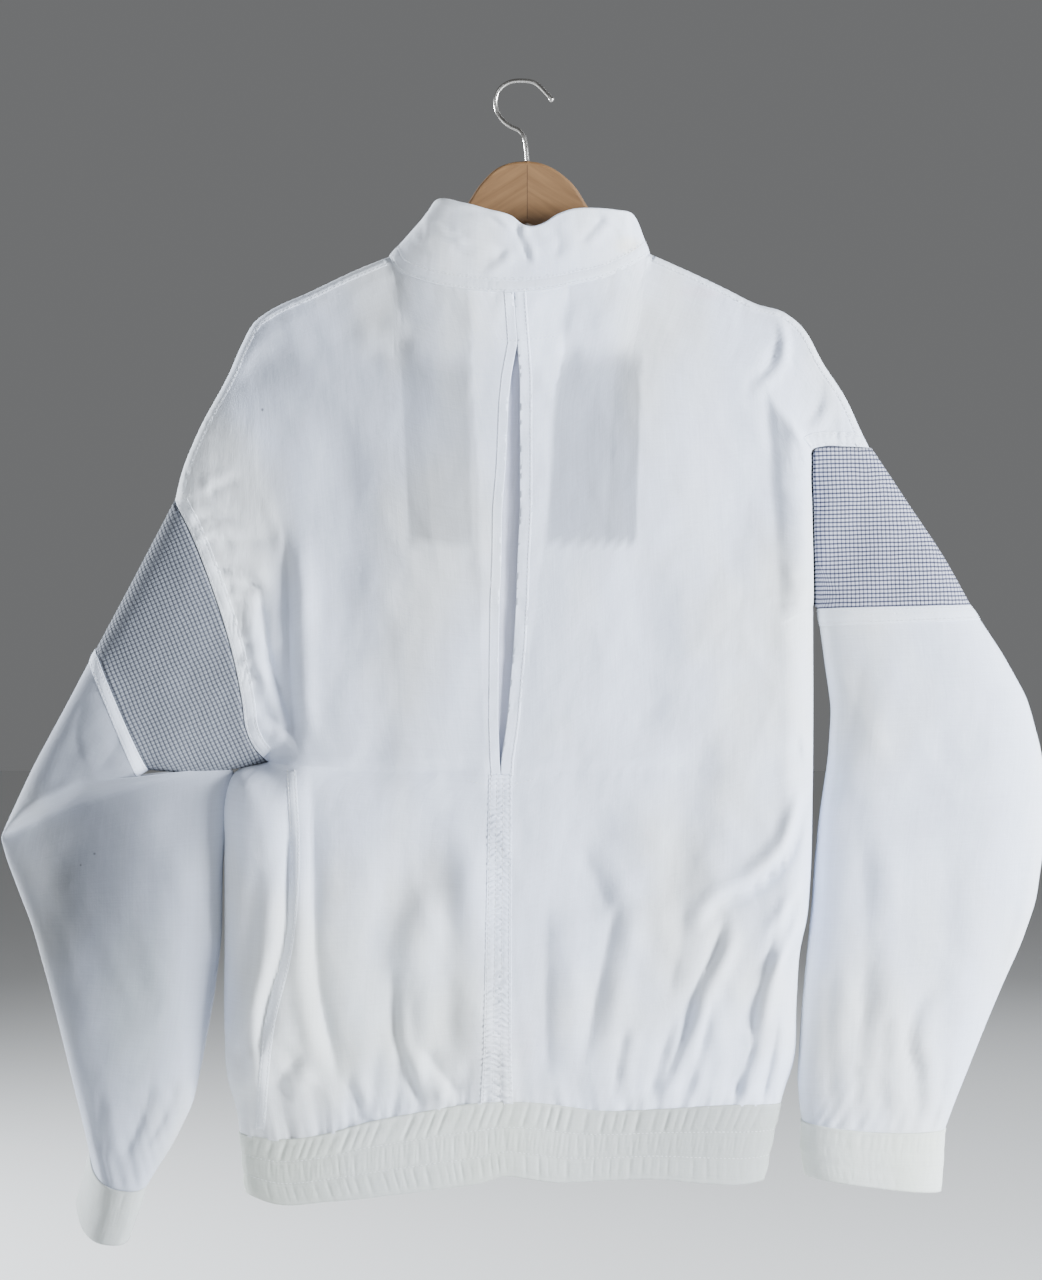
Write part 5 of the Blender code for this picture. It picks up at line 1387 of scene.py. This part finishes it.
def make_collar():
    """The stand collar, from one side of the front zip round the neck to the other."""
    steps = refined(NECK_SHARES, 9)
    rows = []
    for up in np.linspace(0, 1, 30):
        edges = []
        for low, high, middle, inset in ((NECK_BACK, COLLAR_TOP_BACK, SLIT[0][1], 0),
                                         (NECK_FRONT, COLLAR_TOP_FRONT, FRONT_CENTRE, FRONT_EDGE)):
            lines = []
            for edge in (low, high):
                left_x = middle - inset + (edge[0][0] - middle + inset) * steps
                right_x = middle + inset + (edge[-1][0] - middle - inset) * steps
                right_x = right_x[1:] if inset == 0 else right_x
                lines.append(on_curve_at(edge, np.concatenate([left_x[::-1], right_x])))
            edges.append(lines[0] * (1 - up) + lines[1] * up)
        back, front = edges
        left, right = front[: len(steps)][::-1], front[len(steps):][::-1]
        first, last = back[0, 0], back[-1, 0]
        ring = []
        for flat, side in ((left[:-1], 1), (back, -1), (right[1:], 1)):
            profile = oval(np.clip((flat[:, 0] - first) / (last - first), 0, 1))
            lift = (0.5 + 0.8 * (1 - profile)) * (1 - up)
            slack = level(up * 7) * (0.5 + 0.5 * up)
            if side > 0:
                slack = slack * level((np.abs(flat[:, 0] - FRONT_CENTRE) - 6) / 14)
            uneven = 0.7 * crumple(flat, 41 if side < 0 else 43) * slack
            if side < 0:
                uneven = uneven + crease_lift(flat, COLLAR_CREASES) * slack
            deep = (NECK_DEPTH + uneven + 0.6 * np.sin(math.pi * up)) * profile
            ring.append(np.stack([flat[:, 0], side * deep, flat[:, 1] - lift], axis=1))
        rows.append(np.concatenate(ring))
    grid = np.array(rows)
    # Painted shade in the troughs and painted highlight on the ridges of the collar's near creases
    tone = COLLAR_TONE + 2 * crease_shade(grid[..., [0, 2]], COLLAR_CREASES) * (grid[..., 1] < 0)
    piece = cloth_piece("collar_cloth", grid, WHITE_COTTON, "collar", BAND_THICKNESS,
                        tone=tone)
    return piece, grid


mesh_left, mesh_right = make_mesh_band("left"), make_mesh_band("right")
lower_left, LOWER_LEFT_RINGS = make_lower_sleeve("left")
lower_right, LOWER_RIGHT_RINGS = make_lower_sleeve("right")
cuff_left, cuff_right = make_cuff("left", CUFF_LEFT), make_cuff("right", CUFF_RIGHT)
waistband, WAIST_GRID = make_waistband()
collar, COLLAR_GRID = make_collar()


# Felled seams and facings, laid on the panels
def seam_strip(name, panel, line, width, offset=0.0, lift=0.8, near=True, columns=13, finish=None,
               **sewing):
    """A felled seam of a width to the right of a flat line, with its rows of stitches."""
    first, second = offset_line(line, offset), offset_line(line, np.asarray(width) + offset)
    face = "back" if near else "front"
    grid = strip_between(SURFACES[face, panel], first, second, columns, lift, near, **sewing)
    tone = None if finish is None else body_tone(grid)
    piece = cloth_piece(name, grid, finish or FELLED_COTTON, thickness=STRIP_THICKNESS,
                        tone=tone)
    towards = (0, -1 if near else 1, 0)
    for share in sewing.get("rows", STITCH_ROWS):
        stitch_lines.append(grid_line(grid, column=share * (columns - 1), lift=STITCH_LIFT, towards=towards))
    ON_PANEL.setdefault((face, panel), []).append(piece)


def flat_curve(points, count, start=0.0, stop=1.0):
    """A flat line of evenly spaced points on the smooth curve through the given ones."""
    return curve_through(points, np.linspace(start, stop, count))


def band_along(rings, distances, lift, closed):
    """Rows of a grid at distances along its columns from its first row, lifted off its cloth."""
    down = np.linalg.norm(np.diff(rings, axis=0), axis=2)
    down = np.concatenate([np.zeros((1, rings.shape[1])), np.cumsum(down, axis=0)])
    rows = []
    for distance in distances:
        row = np.array([[np.interp(distance, down[:, c], rings[:, c, k]) for k in range(3)]
                        for c in range(rings.shape[1])])
        if distance < 0:
            first = rings[1] - rings[0]
            row = row + distance * first / np.maximum(np.linalg.norm(first, axis=1, keepdims=True), 1e-6)
        rows.append(row)
    grid = np.array(rows)
    if closed:
        wide = np.concatenate([grid[:, -1:], grid, grid[:, :1]], axis=1)
        normal = outward(wide, wide - grid.mean(axis=1, keepdims=True))[:, 1:-1]
    else:
        normal = outward(grid, grid * np.array((0, 1, 0)))
    lift = np.asarray(lift, float)
    return grid + normal * (lift[..., None] if lift.ndim == 2 else np.reshape(lift, (-1, 1, 1)))


def seam_band(name, rings, start, width, lift, stitches, closed=True):
    """A felled band round a sleeve or along a collar, with rows of stitches."""
    share = np.linspace(0, 1, 15)
    flat_band = band_along(rings, start + width * share, 0.0, closed).transpose(1, 0, 2)
    height = strip_height(flat_band, share[None], lift * crown(share)[None]).T
    grid = band_along(rings, start + width * share, height, closed)
    piece = cloth_piece(name, grid, FELLED_COTTON, thickness=ROUND_FELL_THICKNESS,
                        closed=closed)
    for distance in stitches:
        row = band_along(rings, (start + distance - 0.5, start + distance), lift + 0.25, closed)[1]
        stitch_lines.append(np.concatenate([row, row[:1]]) if closed else row)
    return piece


ON_PANEL = {}
SIDE_SEAM_LEFT = ((-187, 549), (-184, 622), (-190, 690), (-203, 745), (-209, 790), (-213, 833))
SIDE_SEAM_RIGHT = ((214, 560), (206, 640), (196, 720), (192, 809))

for near, where in ((True, "back"), (False, "front")):
    seam_strip(f"armhole_fell_left_{where}", "left", flat_curve(ARMHOLE_LEFT, 110, 0.02, 0.985)[::-1], 10,
               offset=0.2, near=near)
    seam_strip(f"armhole_fell_right_{where}", "right", flat_curve(ARMHOLE_RIGHT, 60, 0.725, 0.985), 11.5,
               offset=0.2, near=near)
seam_strip("shoulder_fell_left", "left", flat_curve(SHOULDER_LEFT, 120, 0.02, 0.975), 6.4, offset=0.6,
           rows=(0.84,))
seam_strip("shoulder_fell_right", "right", flat_curve(SHOULDER_RIGHT, 110, 0.02, 0.95), -5.4, offset=-0.6,
           rows=(0.84,))
for name, panel, line, near in (("side_fell_left", "left", SIDE_SEAM_LEFT, True),
                                ("side_fell_left_front", "left", SIDE_SEAM_LEFT, False),
                                ("side_fell_right_front", "right", SIDE_SEAM_RIGHT, False)):
    seam_strip(name, panel, flat_curve(line, 120), 8, lift=0.6, near=near)

mesh_fell_left = seam_band("mesh_fell_left", LOWER_LEFT_RINGS, -0.9, 10.5, 0.9, (1.7, 8.8))
mesh_fell_right = seam_band("mesh_fell_right", LOWER_RIGHT_RINGS, -0.9, 14.0, 0.9, (2.2, 6.0, 11.8))
collar_fell = seam_band("collar_fell", COLLAR_GRID, -1.6, 12.0, 0.8, (1.9, 10.1), closed=False)


def stitch_flat(flat, near=True):
    """A row of stitches on the body along a flat line."""
    surfaces = SURFACES["back" if near else "front", "both"]
    stitch_lines.append(laid_on(surfaces, flat, STITCH_LIFT, near))


slit_drops = np.linspace(SLIT[0][0] + 0.2, SLIT[-1][0] - 1, 210)
for side, width, order in (("left", 8.0, -1), ("right", 10.0, 1)):
    seam_strip(f"slit_facing_{side}", side, slit_edge(side, slit_drops)[::order], width, offset=-0.1,
               lift=0.2, rows=(0.86,), pucker=0.1, finish=WHITE_COTTON)
stitch_flat(flat_curve(((-20, 208), (-6, 209.5), (8, 208), (24, 206)), 16))
seam_drops = np.linspace(SLIT[-1][0] - 1.5, WAIST_CENTRE[1] - 0.5, 560)
share = (seam_drops - seam_drops[0]) / (seam_drops[-1] - seam_drops[0])
seam_left = np.stack([np.interp(share, (0, 0.85, 1), (-27.5, -32, -34.5)), seam_drops], axis=1)
seam_width = np.interp(share, (0, 0.85, 1), (18.5, 22.5, 26.5))[:, None]
seam_strip("centre_fell", "both", seam_left, seam_width, lift=0.5, columns=27, rows=(0.1, 0.37, 0.63, 0.9),
           pucker=0.95, pitch=4.9, grow=1.0, finish=WHITE_COTTON)
stitch_flat(flat_curve(((-44, 556), (-31, 559), (-18, 560), (-4, 558), (8, 555)), 40))
outside = WAIST_GRID * np.array((0, 1, 0))
for at in CHANNEL_LINES:
    stitch_lines.append(grid_line(WAIST_GRID, row=at * (len(WAIST_GRID) - 1), lift=0.9, towards=outside))
for at in (1.2, 5.4):
    for x in (FRONT_CENTRE - FRONT_EDGE - at, FRONT_CENTRE + FRONT_EDGE + at):
        stitch_flat(np.stack([np.full(90, x), np.linspace(226, 806, 90)], axis=1), False)

along_lines("seam_stitches", stitch_lines, STITCH, STITCH_SIZES, THREAD)

# The zip
TAPE_WIDTH = 12.0
TAPE_INSET = 0.15
TAPE_SLOPE = 0.8
TAPE_BEHIND = 1.55
TAPE_TOP = 163.0
TAPE_FOOT = 868.0
SLIDER_TOP = 171.0
SLIDER_FOOT = 186.0
TOOTH_INSET = 1.1
TOOTH_LIFT = 0.75
TOOTH_STAGGER = 0.65


def make_tape(side, direction, columns):
    """One zip tape behind its front edge, and the line its teeth stand on."""
    line = np.concatenate(columns)
    line = line[np.argsort(line[:, 2])]
    drops = np.linspace(TAPE_TOP, TAPE_FOOT, 300)
    depth = np.interp(drops, line[:, 2], line[:, 1]) - TAPE_BEHIND
    share = np.linspace(0, 1, 7)[None]
    x = FRONT_CENTRE + direction * (TAPE_INSET + (TAPE_WIDTH - TAPE_INSET) * share) + 0 * drops[:, None]
    y = depth[:, None] - TAPE_SLOPE * share
    grid = np.dstack([x, y, np.broadcast_to(drops[:, None], x.shape)])
    piece = cloth_piece(f"zip_tape_{side}_cloth", grid, TAPE_COTTON, f"zip_tape_{side}",
                        TAPE_THICKNESS)
    teeth_x = np.full(len(drops), FRONT_CENTRE + direction * TOOTH_INSET)
    staggered = drops + (TOOTH_STAGGER if direction > 0 else 0)
    teeth = np.stack([teeth_x, depth + TOOTH_LIFT, staggered], axis=1)
    return piece, teeth


zip_lines = []
TAPES = {}
for side, direction, column in (("left", -1, 0), ("right", 1, -1)):
    columns = (COLLAR_GRID[:, column], GRIDS["front", side][:, 0], WAIST_GRID[:, column])
    TAPES[side], teeth = make_tape(side, direction, columns)
    for part in (teeth[teeth[:, 2] < SLIDER_TOP], teeth[teeth[:, 2] > SLIDER_FOOT]):
        if len(part) > 2:
            zip_lines.append(part)
zip_teeth = along_lines("zip_teeth", zip_lines, TEETH, TOOTH_SIZES, TOOTH)
for name in ("zip_slider", "zip_pull"):
    cad = bpy.data.objects[name]
    for slot_of_part in cad.material_slots:
        slot_of_part.material = NICKEL

# The hanger
HOOK = ((3, 62.6), (2, 52), (0, 43), (-3.5, 38.2), (-10, 35), (-16.5, 30), (-21.2, 23),
        (-22.4, 15), (-19, 5), (-11, -0.6), (-1, -1.8), (9, 0), (17, 7), (21, 11.5), (23.5, 15))
ARM_LEFT = ((5.3, 63), (-9, 64), (-20, 68), (-34, 81), (-47, 100), (-76, 125), (-106, 145.6),
            (-133, 153.2), (-171, 169.8), (-196, 182), (-204, 188), (-211, 197), (-214, 207),
            (-210, 214), (-202, 214), (-150, 187), (-106, 166), (-60, 141), (-20, 121), (-6, 116),
            (5.3, 112))
ARM_RIGHT = ((0.7, 63), (11, 64), (20, 67), (38, 80), (54, 103), (76, 125), (101, 143),
             (134, 155.6), (163, 167.9), (185, 179.2), (200, 185), (208, 190.5), (214, 198), (217, 207),
             (213, 214), (204, 214), (150, 187), (106, 166), (60, 140), (24, 122), (14, 117),
             (0.7, 112))
ARM_THICK = 9.0
ARM_ROUND = 2.4
WIRE_WIDTH = 3.4

# The glue line between the arms: its two x, its half depth, and its upper and lower drop
GLUE_X = (2.75, 3.25)
GLUE_DEPTH = 4.52
GLUE_DROPS = (66, 109.5)

# The rounded tip of the hook: its radius, how much wider than the wire it is, and its least share
TIP_RADIUS = 2.3
TIP_SWELL = 1.35
TIP_LEAST = 0.15


def make_arm(side, outline, finish):
    """One wooden half of the hanger, with rounded edges."""
    smooth = curve_through(outline, np.linspace(0, 1, 181))
    data = bpy.data.curves.new(f"arm_{side}", "CURVE")
    data.dimensions = "2D"
    data.fill_mode = "BOTH"
    data.extrude = (ARM_THICK / 2 - ARM_ROUND) * MM
    data.bevel_depth = ARM_ROUND * MM
    data.bevel_resolution = 5
    data.offset = -ARM_ROUND * MM
    rows = np.stack([smooth[:, 0] * MM, -smooth[:, 1] * MM, 0 * smooth[:, 0]], axis=1)
    add_line(data, rows).use_cyclic_u = True
    name = f"hanger_arm_{side}_wood"
    piece = plain_mesh(name, in_scene(name + "_curve", data), finish)
    corners = np.empty(len(piece.data.vertices) * 3)
    piece.data.vertices.foreach_get("co", corners)
    corners = corners.reshape(-1, 3)
    turned = np.stack([corners[:, 0], -corners[:, 2], corners[:, 1]], axis=1)
    piece.data.vertices.foreach_set("co", turned.ravel())
    piece.data.update()
    piece.data.shade_smooth()
    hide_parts(f"hanger_arm_{side}")


make_arm("left", ARM_LEFT, WOOD_LEFT)
make_arm("right", ARM_RIGHT, WOOD_RIGHT)

glue_corners = [(x, y, drop) for x in GLUE_X for y in (-GLUE_DEPTH, GLUE_DEPTH) for drop in GLUE_DROPS]
glue_faces = ((0, 2, 3, 1), (4, 5, 7, 6), (0, 1, 5, 4), (2, 6, 7, 3), (0, 4, 6, 2), (1, 3, 7, 5))
glue_mesh = bpy.data.meshes.new("hanger_glue_line")
glue_mesh.from_pydata(to_world(glue_corners).tolist(), [], glue_faces)
glue_mesh.materials.append(GLUE)
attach(in_scene("hanger_glue_line", glue_mesh), "root")

hook_route = curve_through(HOOK, np.linspace(0, 1, 160))
hook_line = np.stack([hook_route[:, 0], 0 * hook_route[:, 0], hook_route[:, 1]], axis=1)
hook_data = bpy.data.curves.new("hook_wire_line", "CURVE")
hook_data.dimensions = "3D"
hook_data.bevel_depth = WIRE_WIDTH * MM / 2
hook_data.bevel_resolution = 6
hook_data.use_fill_caps = True
hook_spline = add_line(hook_data, to_world(hook_line))
steps = lengths_along(hook_route)
for point, from_tip in zip(hook_spline.points, steps[-1] - steps):
    ball = 0.0
    if from_tip < 2 * TIP_RADIUS:
        ball = math.sqrt(max(0.0, 1 - ((from_tip - TIP_RADIUS) / TIP_RADIUS) ** 2)) * TIP_SWELL
    point.radius = max(ball, TIP_LEAST if from_tip < TIP_RADIUS else 1.0)
hook = plain_mesh("hanger_hook_wire", in_scene("hanger_hook_wire_curve", hook_data), WIRE)
hook.data.shade_smooth()
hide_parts("hanger_hook")

# Floor, light and camera
FLOOR_REACH = 14.0
FLOOR_HEIGHT = -1.16
WORLD_COLOUR = (0.62, 0.63, 0.64, 1)
WORLD_STRENGTH = 0.26
LIGHTS_FACE = (0.0, 0.0, -0.45)
LIGHT_COLOUR = (0.9, 0.95, 1.0)
LIGHTS = (
    ("key", (2.15, -1.15, -0.2), 0.85, 205),
    ("fill", (-1.4, -2.8, 0.9), 1.6, 20),
    ("back_key", (-2.2, 1.0, 0.0), 0.5, 150),
    ("back_fill", (1.4, 2.8, 0.9), 1.6, 18),
)
CAMERA_PLACE = (-0.002, -2.4, -0.4456)
CAMERA_LENS = 84.4
CAMERA_SENSOR = 36

floor_mesh = bpy.data.meshes.new("floor")
floor_signs = ((-1, -1), (1, -1), (1, 1), (-1, 1))
floor_corners = [(x * FLOOR_REACH, y * FLOOR_REACH, FLOOR_HEIGHT) for x, y in floor_signs]
floor_mesh.from_pydata(floor_corners, [], [(0, 1, 2, 3)])
floor_mesh.materials.append(finish_tree("pale_floor", Roughness=0.9, Base_Color=(0.88, 0.88, 0.875, 1))[0])
in_scene("floor", floor_mesh)

world = bpy.context.scene.world or bpy.data.worlds.new("studio")
bpy.context.scene.world = world
world.use_nodes = True
fill(world.node_tree, world.node_tree.nodes["Background"].inputs, (WORLD_COLOUR, WORLD_STRENGTH))

for name, place, size, power in LIGHTS:
    light_data = bpy.data.lights.new(name, "AREA")
    light_data.shape = "SQUARE"
    light_data.size = size
    light_data.energy = power
    light_data.color = LIGHT_COLOUR
    light = in_scene(name, light_data)
    light.location = place
    light.rotation_euler = (Vector(LIGHTS_FACE) - Vector(place)).to_track_quat("-Z", "Y").to_euler()

camera_data = bpy.data.cameras.new("camera")
camera_data.lens = CAMERA_LENS
camera_data.sensor_width = CAMERA_SENSOR
camera_data.clip_end = 100
camera = in_scene("camera", camera_data)
camera.location = CAMERA_PLACE
camera.rotation_euler = (math.pi / 2, 0, 0)
bpy.context.scene.camera = camera
